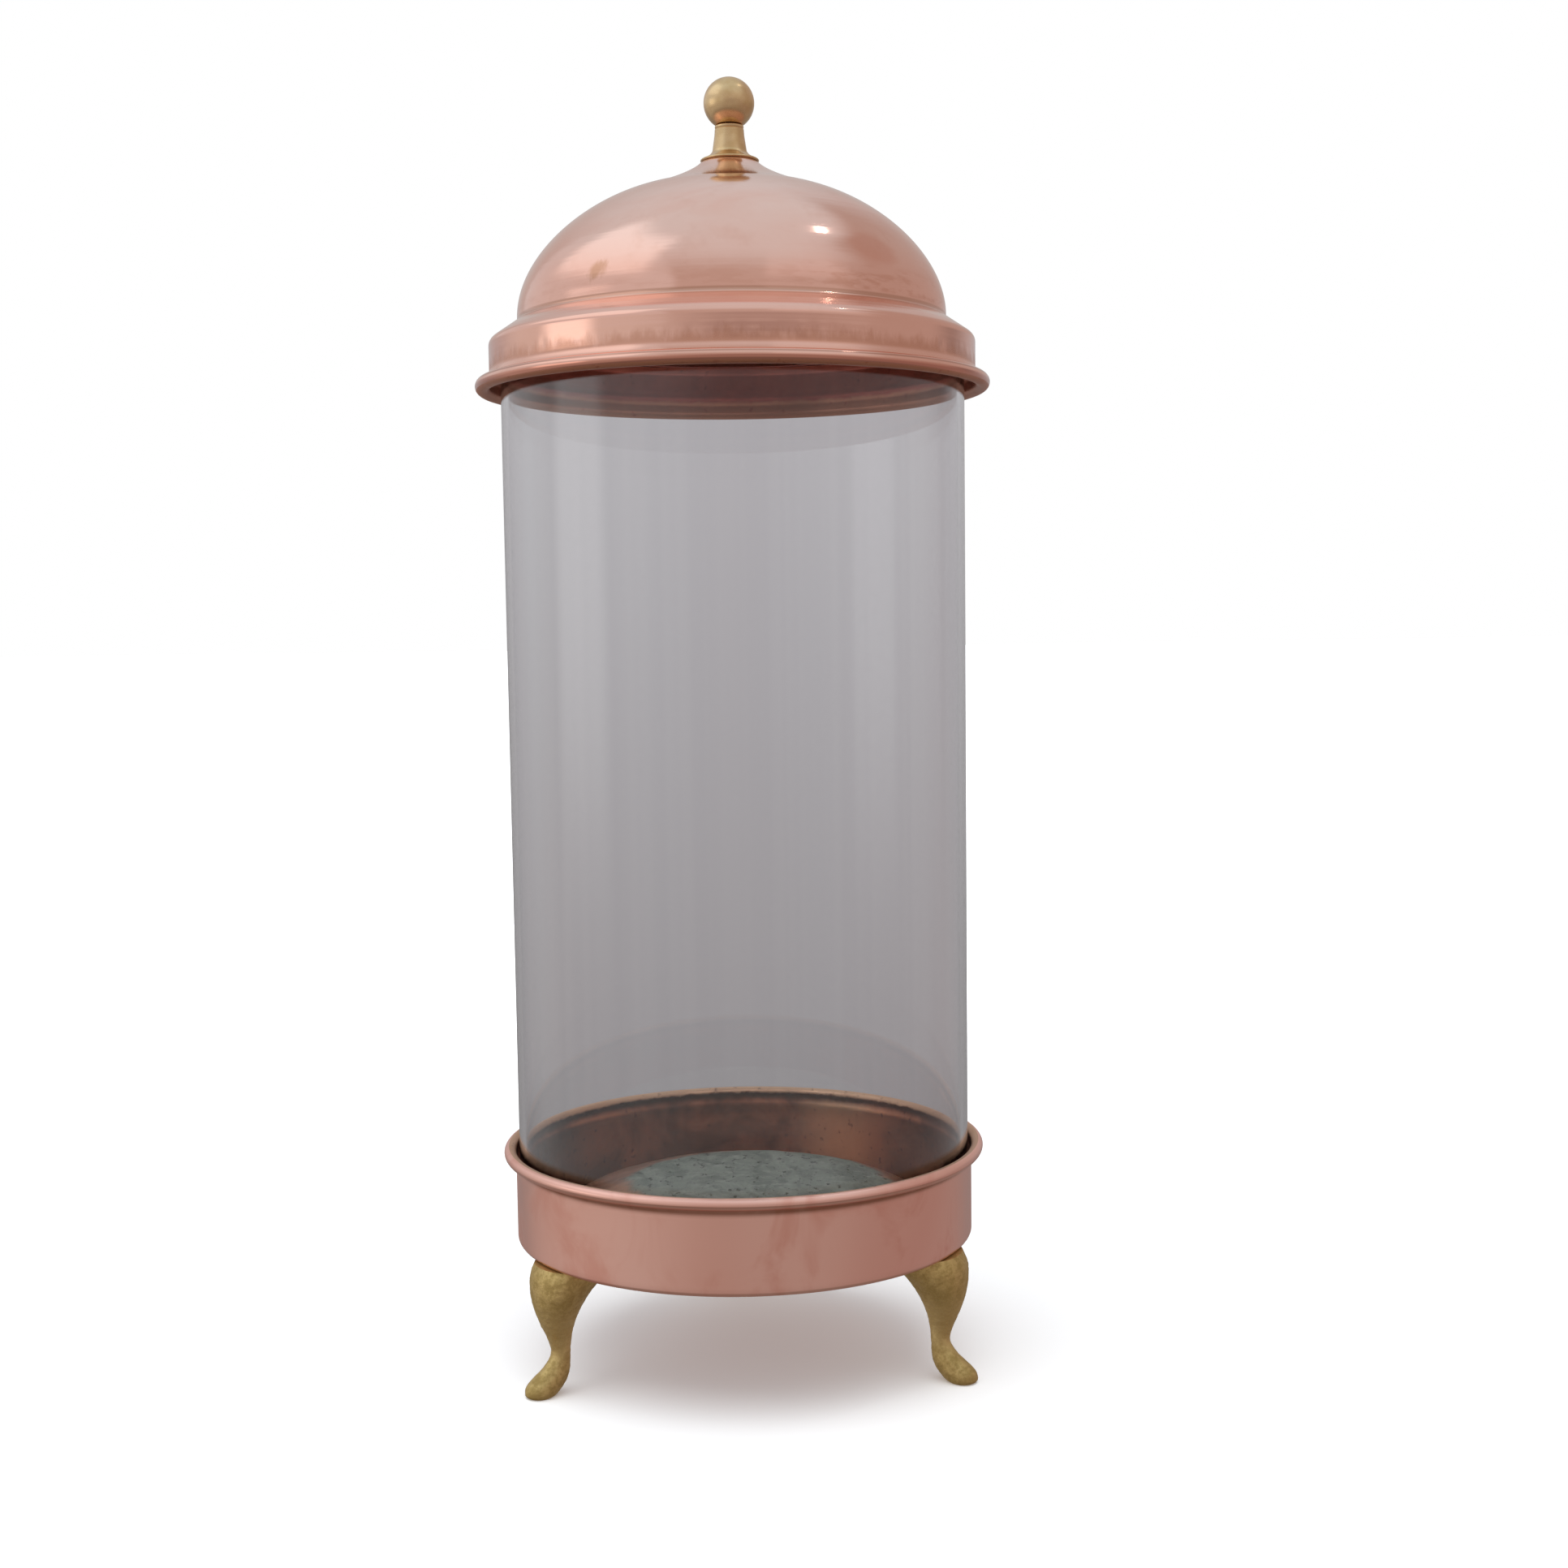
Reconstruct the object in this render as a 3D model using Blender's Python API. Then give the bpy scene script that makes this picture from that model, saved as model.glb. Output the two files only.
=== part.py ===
"""Display jar: a clear cylinder in a copper tray on three cast brass legs, under a copper dome lid.

Frame: metres, +Z up, the origin on the jar's axis at the floor, the front towards -Y.
Every round piece is a closed (radius, height) profile turned about the jar's axis. Spun sheet is
drawn as its middle line and given its thickness, with the raw edge curled round a steel wire.
"""

import math

import bmesh
import bpy
from mathutils import Matrix, Vector

MM = 0.001

# Driving dimensions
GLASS_DIAMETER = 200 * MM
GLASS_WALL = 3 * MM
GLASS_LENGTH = 392 * MM
LEG_HEIGHT = 56 * MM              # floor to the underside of the tray
SHEET = 0.9 * MM                  # copper sheet
GAP = 0.3 * MM                    # between pieces that touch
GROUND_EDGE = 0.5 * MM            # bevel ground on the glass ends

# Tray
TRAY_OUTER_RADIUS = 101.5 * MM
TRAY_CORNER = 1.5 * MM
TRAY_WALL_HEIGHT = 34.5 * MM      # straight wall, up to the flare
TRAY_FLARE = 0.9 * MM
TRAY_FLARE_TOP = 38 * MM
TRAY_RIM_HEIGHT = 39.2 * MM       # middle of the rolled rim
TRAY_FLARE_START = 1 * MM         # how gently the wall leans into the flare, and the flare into the rim
TRAY_FLARE_END = 1.5 * MM
TRAY_WIRE_RADIUS = 1.4 * MM
TRAY_FLOOR_RING = 60 * MM         # a ring of edges in the floor, which keeps its facets short

# Floor plate
PLATE_RADIUS = 95.5 * MM
PLATE_RISE = 22 * MM
PLATE_POWER = 4                   # it falls away from its middle as this power of the radius

# Lid
LID_WIRE_RADIUS = 1.9 * MM
LIP_FLARE = 0.9 * MM             # how far the skirt leans out above its rolled lip
LIP_FLARE_FOOT = 2.6 * MM         # above the wire's middle
LIP_FLARE_TOP = 7 * MM
LIP_FLARE_BEND = 1.8 * MM
SKIRT_RADIUS = 104.7 * MM         # outside of the straight band
SKIRT_HEIGHT = 17 * MM            # from the wire's middle to the middle of the shoulder's corner
SHOULDER_CORNER = 3 * MM
LEDGE_ANGLE = math.radians(34)    # the ledge's slope from level
LEDGE_INNER_RADIUS = 93.5 * MM
DOME_FILLET = 2.4 * MM
DOME_RADIUS = 92.3 * MM
DOME_RISE = 66.3 * MM             # from the foot of the dome to the flat under the finial
DOME_TURN_RADIUS = 38 * MM        # where the dome's curve turns hollow
DOME_TURN_RISE = 54 * MM
DOME_TURN_SLOPE = 0.26
CROWN_RADIUS = 12.2 * MM
CROWN_SLOPE = 1.1
CROWN_PULL = 5.5 * MM             # how far each slope holds before the dome bends to the next
HOLLOW_PULL = 8.5 * MM
SHOULDER_PULL = 28 * MM
FOOT_PULL = 24 * MM

# Finial
FLANGE_RADIUS = 12.6 * MM
FLANGE_HEIGHT = 1.1 * MM
FLANGE_BEVEL = 0.4 * MM
NECK_FLARE_HEIGHT = 4 * MM        # from the flange up to the plain neck
NECK_COLLAR_HEIGHT = 4 * MM       # the neck's last stretch under the ball
NECK_COLLAR_STEP = 0.2 * MM
NECK_FOOT_RADIUS = 7.3 * MM
NECK_TOP_RADIUS = 6.2 * MM
NECK_HEIGHT = 15.1 * MM
BALL_RADIUS = 10.9 * MM
STUD_RADIUS = 3 * MM
BALL_SEAT_STEP = 0.4 * MM         # how much smaller the ball's flat seat is than the neck
STUD_IN_BALL = 8 * MM
STUD_BELOW_NUT = 1 * MM
STUD_BEVEL = 0.5 * MM
NUT_ACROSS_FLATS = 10 * MM
NUT_HEIGHT = 5 * MM
FINIAL_WASHER_RADIUS = 8 * MM
WASHER_THICKNESS = 0.9 * MM

# Legs and their screws
LEG_NAMES = {"leg_rear": 90, "leg_front_left": 210, "leg_front_right": 330}
SCREW_RADIUS = 2 * MM
SCREW_HEAD_RADIUS = 3.9 * MM
SCREW_HEAD_HEIGHT = 2.4 * MM
SCREW_CROWN_RADIUS = 2.7 * MM     # where the domed top of the head begins
SCREW_CROWN_DROP = 0.3 * MM
SCREW_DEPTH = 8 * MM              # thread in the leg
SCREW_CIRCLE = 86 * MM
SCREW_SPREAD = 7 * MM             # either side of the leg's middle
WASHER_RADIUS = 4.5 * MM

# Facets
AROUND = 40                       # round the jar
AROUND_KNOB = 20
AROUND_SMALL = 12
PLATE_STEPS = 8
CUT_CLEARANCE = 1 * MM            # how far a cutter reaches past what it cuts


def ledge_underside(radius):
    """How far the ledge's underside is above the middle of the shoulder's corner at a radius."""
    bend = SHOULDER_CORNER - SHEET / 2
    reach = SHOULDER_MIDDLE + bend * math.sin(LEDGE_ANGLE) - radius
    return bend * math.cos(LEDGE_ANGLE) + reach * math.tan(LEDGE_ANGLE)


# Heights that follow; the lid's ledge rests on the outer edge of the glass
TRAY_FLOOR = LEG_HEIGHT + SHEET
GLASS_BOTTOM = TRAY_FLOOR + GAP
GLASS_TOP = GLASS_BOTTOM + GLASS_LENGTH
SHOULDER_MIDDLE = SKIRT_RADIUS - SHEET / 2 - SHOULDER_CORNER
LEDGE_SEAT = GLASS_DIAMETER / 2 - GROUND_EDGE
SHOULDER_HEIGHT = GLASS_TOP + GAP / math.cos(LEDGE_ANGLE) - ledge_underside(LEDGE_SEAT)
LID_WIRE_HEIGHT = SHOULDER_HEIGHT - SKIRT_HEIGHT
LEDGE_TOP = SHOULDER_HEIGHT + ledge_underside(LEDGE_INNER_RADIUS) + SHEET / math.cos(LEDGE_ANGLE)
DOME_FOOT = LEDGE_TOP + DOME_FILLET
CROWN_HEIGHT = DOME_FOOT + DOME_RISE
NECK_BOTTOM = CROWN_HEIGHT + GAP
NECK_TOP = NECK_BOTTOM + NECK_HEIGHT
BALL_BOTTOM = NECK_TOP + GAP


# ---------------------------------------------------------------- materials

def material(name, colour, metallic, roughness, transmission=0.0):
    mat = bpy.data.materials.new(name)
    mat.use_nodes = True
    shader = mat.node_tree.nodes["Principled BSDF"]
    shader.inputs["Base Color"].default_value = (*colour, 1.0)
    shader.inputs["Metallic"].default_value = metallic
    shader.inputs["Roughness"].default_value = roughness
    shader.inputs["Transmission Weight"].default_value = transmission
    return mat


def make_materials():
    return {
        "lid_copper": material("lid_copper", (0.80, 0.47, 0.37), 1.0, 0.16),
        "tray_copper": material("tray_copper", (0.70, 0.38, 0.30), 1.0, 0.38),
        "verdigris": material("verdigris", (0.20, 0.28, 0.23), 0.2, 0.6),
        "turned_brass": material("turned_brass", (0.68, 0.49, 0.22), 1.0, 0.3),
        "cast_brass": material("cast_brass", (0.40, 0.27, 0.09), 1.0, 0.5),
        "steel": material("steel", (0.45, 0.45, 0.46), 1.0, 0.35),
        "clear_glass": material("clear_glass", (0.85, 0.88, 0.90), 0.0, 0.02, 1.0),
    }


# ---------------------------------------------------------------- profiles

def arc(centre, radius, start, end, steps):
    """Points on a circle in the (radius, height) plane, angles in degrees."""
    angles = [math.radians(start + (end - start) * i / steps) for i in range(steps + 1)]
    return [(centre[0] + radius * math.cos(a), centre[1] + radius * math.sin(a)) for a in angles]


def bezier(p0, p1, p2, p3, steps):
    """Points on a cubic curve, ends included."""
    points = []
    for i in range(steps + 1):
        t = i / steps
        weights = ((1 - t) ** 3, 3 * t * (1 - t) ** 2, 3 * t * t * (1 - t), t ** 3)
        points.append(tuple(sum(w * p[k] for w, p in zip(weights, (p0, p1, p2, p3)))
                            for k in (0, 1)))
    return points


def offset_line(line, distance):
    """The line moved sideways, to its left for a positive distance, mitred at its corners."""
    moved = []
    for i, point in enumerate(line):
        before = Vector(line[max(i - 1, 0)])
        after = Vector(line[min(i + 1, len(line) - 1)])
        here = Vector(point)
        into = (here - before).normalized() if i > 0 else (after - here).normalized()
        out = (after - here).normalized() if i < len(line) - 1 else into
        normal = Vector((-into.y - out.y, into.x + out.x)).normalized()
        mitre = normal.dot(Vector((-into.y, into.x)))
        moved.append(tuple(here + normal * distance / mitre))
    return moved


def sheet_profile(middle_line):
    """A closed profile of sheet metal from its middle line; an end on the axis keeps radius 0."""
    left = offset_line(middle_line, SHEET / 2)
    right = offset_line(middle_line, -SHEET / 2)
    loop = left + right[::-1]
    return [(0.0, z) if middle_line[0][0] == 0 and r < SHEET else (r, z) for r, z in loop]


# ---------------------------------------------------------------- meshes

def add_object(name, mesh, mat, parent=None):
    obj = bpy.data.objects.new(name, mesh)
    bpy.context.collection.objects.link(obj)
    if mat is not None and not mesh.materials:
        mesh.materials.append(mat)
    if parent is not None:
        obj.parent = parent
        obj.matrix_parent_inverse = parent.matrix_world.inverted()
    return obj


def mesh_from(name, bm, sharp_degrees=35):
    bmesh.ops.recalc_face_normals(bm, faces=bm.faces)
    mesh = bpy.data.meshes.new(name)
    bm.to_mesh(mesh)
    bm.free()
    mesh.shade_smooth()
    mesh.set_sharp_from_angle(angle=math.radians(sharp_degrees))
    return mesh


def turned_mesh(name, profile, around):
    """The closed profile turned about Z; points at radius 0 become one vertex on the axis."""
    bm = bmesh.new()
    rings = []
    for r, z in profile:
        if r == 0:
            rings.append([bm.verts.new((0, 0, z))] * around)
        else:
            turns = [2 * math.pi * k / around for k in range(around)]
            rings.append([bm.verts.new((r * math.cos(a), r * math.sin(a), z)) for a in turns])
    for ring, following in zip(rings, rings[1:] + rings[:1]):
        for k in range(around):
            n = (k + 1) % around
            corners = [ring[k], ring[n], following[n], following[k]]
            unique = list(dict.fromkeys(corners))
            if len(unique) > 2:
                bm.faces.new(unique)
    return mesh_from(name, bm)


def turned(name, profile, mat, parent=None, around=AROUND):
    return add_object(name, turned_mesh(name, profile, around), mat, parent)


def empty(name, height):
    """An empty on the jar's axis, which a lifting group hangs from."""
    obj = bpy.data.objects.new(name, None)
    obj.location = (0, 0, height)
    bpy.context.collection.objects.link(obj)
    bpy.context.view_layer.update()
    return obj


def cutter(name, profile, around=AROUND_SMALL):
    obj = add_object(name, turned_mesh(name, profile, around), None)
    obj.hide_render = True
    obj.display_type = "WIRE"
    return obj


def cut(obj, tool):
    modifier = obj.modifiers.new("cut_" + tool.name, "BOOLEAN")
    modifier.operation = "DIFFERENCE"
    modifier.solver = "EXACT"
    modifier.object = tool


def rod_profile(radius, low, high, bevel=0.0):
    if bevel == 0:
        return [(0, low), (radius, low), (radius, high), (0, high)]
    return [(0, low), (radius - bevel, low), (radius, low + bevel),
            (radius, high - bevel), (radius - bevel, high), (0, high)]


def ring_profile(inner, outer, low, high):
    return [(inner, low), (outer, low), (outer, high), (inner, high)]


# ---------------------------------------------------------------- tray group

def tray_rim_middle():
    """Where the tray's wire lies, so that the sheet's middle line passes inside it."""
    curl = TRAY_WIRE_RADIUS + GAP + SHEET / 2
    return (TRAY_OUTER_RADIUS - SHEET / 2 + TRAY_FLARE + curl, LEG_HEIGHT + TRAY_RIM_HEIGHT)


def tray_line():
    wall = TRAY_OUTER_RADIUS - SHEET / 2
    floor = LEG_HEIGHT + SHEET / 2
    corner = arc((wall - TRAY_CORNER, floor + TRAY_CORNER), TRAY_CORNER, -90, 0, 2)
    flare = bezier((wall, LEG_HEIGHT + TRAY_WALL_HEIGHT),
                   (wall + TRAY_FLARE / 2, LEG_HEIGHT + TRAY_WALL_HEIGHT + TRAY_FLARE_START),
                   (wall + TRAY_FLARE, LEG_HEIGHT + TRAY_FLARE_TOP - TRAY_FLARE_END),
                   (wall + TRAY_FLARE, LEG_HEIGHT + TRAY_FLARE_TOP), 2)
    curl = arc(tray_rim_middle(), TRAY_WIRE_RADIUS + GAP + SHEET / 2, 180, -115, 8)
    return [(0, floor), (TRAY_FLOOR_RING, floor)] + corner + flare + curl


def make_tray(mats):
    turned("tray_edge_wire", arc(tray_rim_middle(), TRAY_WIRE_RADIUS, 0, 315, 7), mats["steel"])
    return turned("tray_shell", sheet_profile(tray_line()), mats["tray_copper"])


def make_floor_plate(mats):
    """A plate pressed from sheet, nearly flat in the middle, whose edge stands on the tray's floor."""
    foot = TRAY_FLOOR + GAP

    def pressed(edge, lift):
        steps = PLATE_STEPS
        return [(edge * i / steps, foot + lift + PLATE_RISE * (1 - (i / steps) ** PLATE_POWER))
                for i in range(steps + 1)]

    outer = pressed(PLATE_RADIUS, SHEET) + [(PLATE_RADIUS, foot)]
    inner = pressed(PLATE_RADIUS - SHEET, 0)
    turned("floor_plate", outer + inner[::-1], mats["verdigris"])


# ---------------------------------------------------------------- legs

# Height above the floor, inner and outer reach from the jar's axis, half width and how much
# wider the outer side is than the inner: sole, toe, ankle, calf, knee and top.
LEG_SECTIONS = (
    (0.0, 98.6, 109.4, 4.7, 0.10),
    (0.9, 96.6, 111.0, 5.8, 0.14),
    (3.2, 94.2, 111.1, 6.3, 0.16),
    (5.5, 92.3, 109.9, 6.2, 0.12),
    (8.5, 91.0, 106.3, 5.7, 0.05),
    (12.0, 90.4, 102.0, 5.0, 0.0),
    (17.5, 90.2, 98.6, 4.4, 0.0),
    (24.0, 89.5, 100.2, 5.3, 0.05),
    (31.0, 87.7, 103.2, 8.0, 0.15),
    (38.0, 84.0, 105.3, 11.0, 0.25),
    (44.0, 79.0, 106.0, 13.4, 0.32),
    (49.5, 72.5, 105.8, 14.9, 0.34),
    (52.5, 69.8, 105.0, 15.3, 0.34),
    (55.7, 68.6, 103.2, 15.3, 0.34),
)
LEG_AROUND = 14


def leg_mesh():
    """The casting, lofted through its sections, its outward side towards +X."""
    bm = bmesh.new()
    rings = []
    for height, inner, outer, half_width, flare in LEG_SECTIONS:
        middle = (inner + outer) / 2
        reach = (outer - inner) / 2
        ring = []
        for k in range(LEG_AROUND):
            a = 2 * math.pi * k / LEG_AROUND
            x = middle + reach * math.cos(a)
            y = half_width * math.sin(a) * (1 + flare * math.cos(a))
            ring.append(bm.verts.new((x * MM, y * MM, height * MM)))
        rings.append(ring)
    for low, high in zip(rings, rings[1:]):
        for k in range(LEG_AROUND):
            n = (k + 1) % LEG_AROUND
            bm.faces.new([low[k], low[n], high[n], high[k]])
    bm.faces.new(rings[0][::-1])
    bm.faces.new(rings[-1])
    return mesh_from("cast_leg", bm, 50)


def screw_places():
    """Each screw's name, leg and place: two for each leg, either side of its middle."""
    places = []
    for leg, degrees in LEG_NAMES.items():
        turn = Matrix.Rotation(math.radians(degrees), 3, "Z")
        for side, y in (("a", -SCREW_SPREAD), ("b", SCREW_SPREAD)):
            spot = turn @ Vector((SCREW_CIRCLE, y, 0))
            places.append((leg + "_" + side, leg, spot.x, spot.y))
    return places


def make_legs(mats, tray):
    """The legs, and the screws that hold each one up against the tray from inside it."""
    casting = leg_mesh()
    legs = {}
    for name, degrees in LEG_NAMES.items():
        legs[name] = add_object(name, casting, mats["cast_brass"])
        legs[name].rotation_euler.z = math.radians(degrees)
    bore = SCREW_RADIUS + GAP
    washer_foot = TRAY_FLOOR + GAP
    washer = turned_mesh("screw_washer", ring_profile(
        bore, WASHER_RADIUS, washer_foot, washer_foot + WASHER_THICKNESS), AROUND_SMALL)
    screw = turned_mesh("screw", screw_profile(), AROUND_SMALL)
    hole = rod_profile(bore, LEG_HEIGHT - SCREW_DEPTH - 2 * GAP, TRAY_FLOOR + CUT_CLEARANCE)
    for name, leg, x, y in screw_places():
        tool = cutter("hole_" + name, hole)
        tool.location = (x, y, 0)
        cut(tray, tool)
        cut(legs[leg], tool)
        add_object("screw_" + name, screw, mats["steel"]).location = (x, y, 0)
        add_object("washer_" + name, washer, mats["steel"]).location = (x, y, 0)


def screw_profile():
    """A pan head over the washer, and a shank down through the tray into the leg."""
    head = TRAY_FLOOR + 2 * GAP + WASHER_THICKNESS
    top = head + SCREW_HEAD_HEIGHT
    tip = LEG_HEIGHT - SCREW_DEPTH
    return [(0, tip), (SCREW_RADIUS, tip), (SCREW_RADIUS, head), (SCREW_HEAD_RADIUS, head),
            (SCREW_HEAD_RADIUS, head + SCREW_HEAD_HEIGHT / 2),
            (SCREW_CROWN_RADIUS, top - SCREW_CROWN_DROP), (0, top)]


# ---------------------------------------------------------------- glass

def make_glass(mats, parent):
    outer = GLASS_DIAMETER / 2
    inner = outer - GLASS_WALL
    profile = [(inner + GROUND_EDGE, GLASS_BOTTOM), (outer - GROUND_EDGE, GLASS_BOTTOM),
               (outer, GLASS_BOTTOM + GROUND_EDGE), (outer, GLASS_TOP - GROUND_EDGE),
               (outer - GROUND_EDGE, GLASS_TOP), (inner + GROUND_EDGE, GLASS_TOP),
               (inner, GLASS_TOP - GROUND_EDGE), (inner, GLASS_BOTTOM + GROUND_EDGE)]
    turned("glass_cylinder", profile, mats["clear_glass"], parent)


# ---------------------------------------------------------------- lid group

def lid_line():
    """The sheet from the hole in the crown, over the dome, ledge and skirt, round the lip's wire."""
    half = SHEET / 2
    crown = (CROWN_RADIUS, CROWN_HEIGHT - half)
    turn = (DOME_TURN_RADIUS, DOME_FOOT + DOME_TURN_RISE)
    foot = (DOME_RADIUS - half, DOME_FOOT)

    def along(point, slope, distance):
        """A point further down the dome along its slope, or up it for a negative distance."""
        run = distance / math.hypot(1, slope)
        return (point[0] + run, point[1] - slope * run)

    hollow = bezier(crown, along(crown, CROWN_SLOPE, CROWN_PULL),
                    along(turn, DOME_TURN_SLOPE, -HOLLOW_PULL), turn, 4)
    bulge = bezier(turn, along(turn, DOME_TURN_SLOPE, SHOULDER_PULL),
                   (foot[0], foot[1] + FOOT_PULL), foot, 7)
    ledge_end = (LEDGE_INNER_RADIUS, LEDGE_TOP - half / math.cos(LEDGE_ANGLE))
    corner = arc((SHOULDER_MIDDLE, SHOULDER_HEIGHT), SHOULDER_CORNER,
                 90 - math.degrees(LEDGE_ANGLE), 0, 2)
    skirt = SKIRT_RADIUS - half
    flare = bezier((skirt, LID_WIRE_HEIGHT + LIP_FLARE_TOP),
                   (skirt, LID_WIRE_HEIGHT + LIP_FLARE_TOP - LIP_FLARE_BEND),
                   (skirt + LIP_FLARE, LID_WIRE_HEIGHT + LIP_FLARE_FOOT + LIP_FLARE_BEND),
                   (skirt + LIP_FLARE, LID_WIRE_HEIGHT + LIP_FLARE_FOOT), 3)
    curl = arc(lid_lip_middle(), LID_WIRE_RADIUS + GAP + half, 180, 475, 8)
    return ([(STUD_RADIUS + GAP, crown[1])] + hollow + bulge[1:] + [ledge_end] + corner
            + flare + curl)


def lid_lip_middle():
    return (SKIRT_RADIUS + LIP_FLARE + LID_WIRE_RADIUS + GAP, LID_WIRE_HEIGHT)


def make_lid(mats, parent):
    turned("lid_shell", sheet_profile(lid_line()), mats["lid_copper"], parent)
    turned("lid_edge_wire", arc(lid_lip_middle(), LID_WIRE_RADIUS, 0, 315, 7), mats["steel"], parent)


def neck_profile(bore):
    """A bevelled flange, a flare up to the tapered neck, and a slight step in under the ball."""
    flange_top = NECK_BOTTOM + FLANGE_HEIGHT
    flare = bezier((FLANGE_RADIUS - FLANGE_BEVEL, flange_top),
                   (NECK_FOOT_RADIUS + 0.6 * NECK_FLARE_HEIGHT, flange_top + 0.2 * NECK_FLARE_HEIGHT),
                   (NECK_FOOT_RADIUS, flange_top + 0.5 * NECK_FLARE_HEIGHT),
                   (NECK_FOOT_RADIUS, flange_top + NECK_FLARE_HEIGHT), 4)
    return ([(bore, NECK_BOTTOM), (FLANGE_RADIUS, NECK_BOTTOM),
             (FLANGE_RADIUS, flange_top - FLANGE_BEVEL)] + flare
            + [(NECK_TOP_RADIUS + NECK_COLLAR_STEP, NECK_TOP - NECK_COLLAR_HEIGHT),
               (NECK_TOP_RADIUS, NECK_TOP), (bore, NECK_TOP)])


def ball_profile(bore, stud_top):
    """A ball with a flat seat on the neck and a blind hole up the middle for the stud."""
    seat = NECK_TOP_RADIUS - BALL_SEAT_STEP
    middle = (0, BALL_BOTTOM + math.sqrt(BALL_RADIUS ** 2 - seat ** 2))
    surface = arc(middle, BALL_RADIUS, -math.degrees(math.acos(seat / BALL_RADIUS)), 90, 8)
    hole_top = stud_top + GAP
    return ([(bore, BALL_BOTTOM)] + surface[:-1]
            + [(0, middle[1] + BALL_RADIUS), (0, hole_top), (bore, hole_top)])


def make_finial(mats, parent):
    """The knob in two pieces, and the stud, washer and nut that hold it to the lid."""
    bore = STUD_RADIUS + GAP
    stud_top = BALL_BOTTOM + STUD_IN_BALL
    washer_top = CROWN_HEIGHT - SHEET - GAP
    nut_top = washer_top - WASHER_THICKNESS - GAP
    washer = ring_profile(bore, FINIAL_WASHER_RADIUS, washer_top - WASHER_THICKNESS, washer_top)
    stud = rod_profile(STUD_RADIUS, nut_top - NUT_HEIGHT - STUD_BELOW_NUT, stud_top, STUD_BEVEL)
    turned("finial_neck", neck_profile(bore), mats["turned_brass"], parent, AROUND_KNOB)
    turned("finial_ball", ball_profile(bore, stud_top), mats["turned_brass"], parent, AROUND_KNOB)
    turned("finial_washer", washer, mats["steel"], parent, AROUND_KNOB)
    turned("finial_stud", stud, mats["steel"], parent, AROUND_SMALL)
    make_nut(mats, parent, nut_top)


def make_nut(mats, parent, top):
    """A hexagon with a round bore."""
    corner = NUT_ACROSS_FLATS / math.sqrt(3)
    nut = turned("finial_nut", rod_profile(corner, top - NUT_HEIGHT, top), mats["steel"], parent, 6)
    bore = cutter("nut_bore", rod_profile(
        STUD_RADIUS + GAP, top - NUT_HEIGHT - CUT_CLEARANCE, top + CUT_CLEARANCE))
    cut(nut, bore)


# ---------------------------------------------------------------- the jar

def main():
    for obj in list(bpy.data.objects):
        bpy.data.objects.remove(obj, do_unlink=True)
    mats = make_materials()
    tray = make_tray(mats)
    make_floor_plate(mats)
    make_legs(mats, tray)
    glass_seat = empty("glass_seat", GLASS_BOTTOM)
    make_glass(mats, glass_seat)
    lid_seat = empty("lid_seat", GLASS_TOP)
    make_lid(mats, lid_seat)
    make_finial(mats, lid_seat)


main()
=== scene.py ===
"""Looks of the display jar: spun copper, turned and cast brass, patina and glass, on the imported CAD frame.

Sizes come from the frame's own boxes; the few proportions that a box can't give are the constants below.
Every sheet piece is drawn as the middle line of its sheet in the (radius, height) plane and turned about Z.
"""

import math
import random

import bmesh
import bpy
from mathutils import Matrix, Vector, noise


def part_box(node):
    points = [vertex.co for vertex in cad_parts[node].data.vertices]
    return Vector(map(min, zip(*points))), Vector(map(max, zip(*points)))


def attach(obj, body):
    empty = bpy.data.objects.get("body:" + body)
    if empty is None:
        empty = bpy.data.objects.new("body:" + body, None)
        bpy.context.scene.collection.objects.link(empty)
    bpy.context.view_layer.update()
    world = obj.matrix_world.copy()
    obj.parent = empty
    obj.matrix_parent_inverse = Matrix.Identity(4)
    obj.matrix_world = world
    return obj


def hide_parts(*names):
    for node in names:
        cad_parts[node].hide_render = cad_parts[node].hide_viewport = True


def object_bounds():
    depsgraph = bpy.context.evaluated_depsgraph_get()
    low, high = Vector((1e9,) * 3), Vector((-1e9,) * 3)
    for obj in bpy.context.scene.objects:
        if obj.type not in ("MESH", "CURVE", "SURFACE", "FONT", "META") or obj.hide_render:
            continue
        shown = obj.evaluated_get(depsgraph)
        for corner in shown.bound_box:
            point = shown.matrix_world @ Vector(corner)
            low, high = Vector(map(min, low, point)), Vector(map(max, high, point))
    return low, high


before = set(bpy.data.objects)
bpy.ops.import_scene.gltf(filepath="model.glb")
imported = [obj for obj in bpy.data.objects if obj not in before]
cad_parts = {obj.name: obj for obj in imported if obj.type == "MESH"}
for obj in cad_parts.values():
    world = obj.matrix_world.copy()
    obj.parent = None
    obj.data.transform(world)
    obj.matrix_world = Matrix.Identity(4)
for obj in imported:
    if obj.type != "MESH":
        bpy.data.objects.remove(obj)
cad_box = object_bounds()

MM = 0.001

# Sheet and clearances
SHEET = 0.9 * MM
GAP = 0.3 * MM

# Rolled edges: of a curl's points, the dull ones are those still on the piece's inner side
CURL_STEPS = 26
LID_CURL_DULL = 13
TRAY_CURL_DULL = 9
LID_WIRE_RADIUS = 1.9 * MM
TRAY_WIRE_RADIUS = 1.4 * MM

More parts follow.
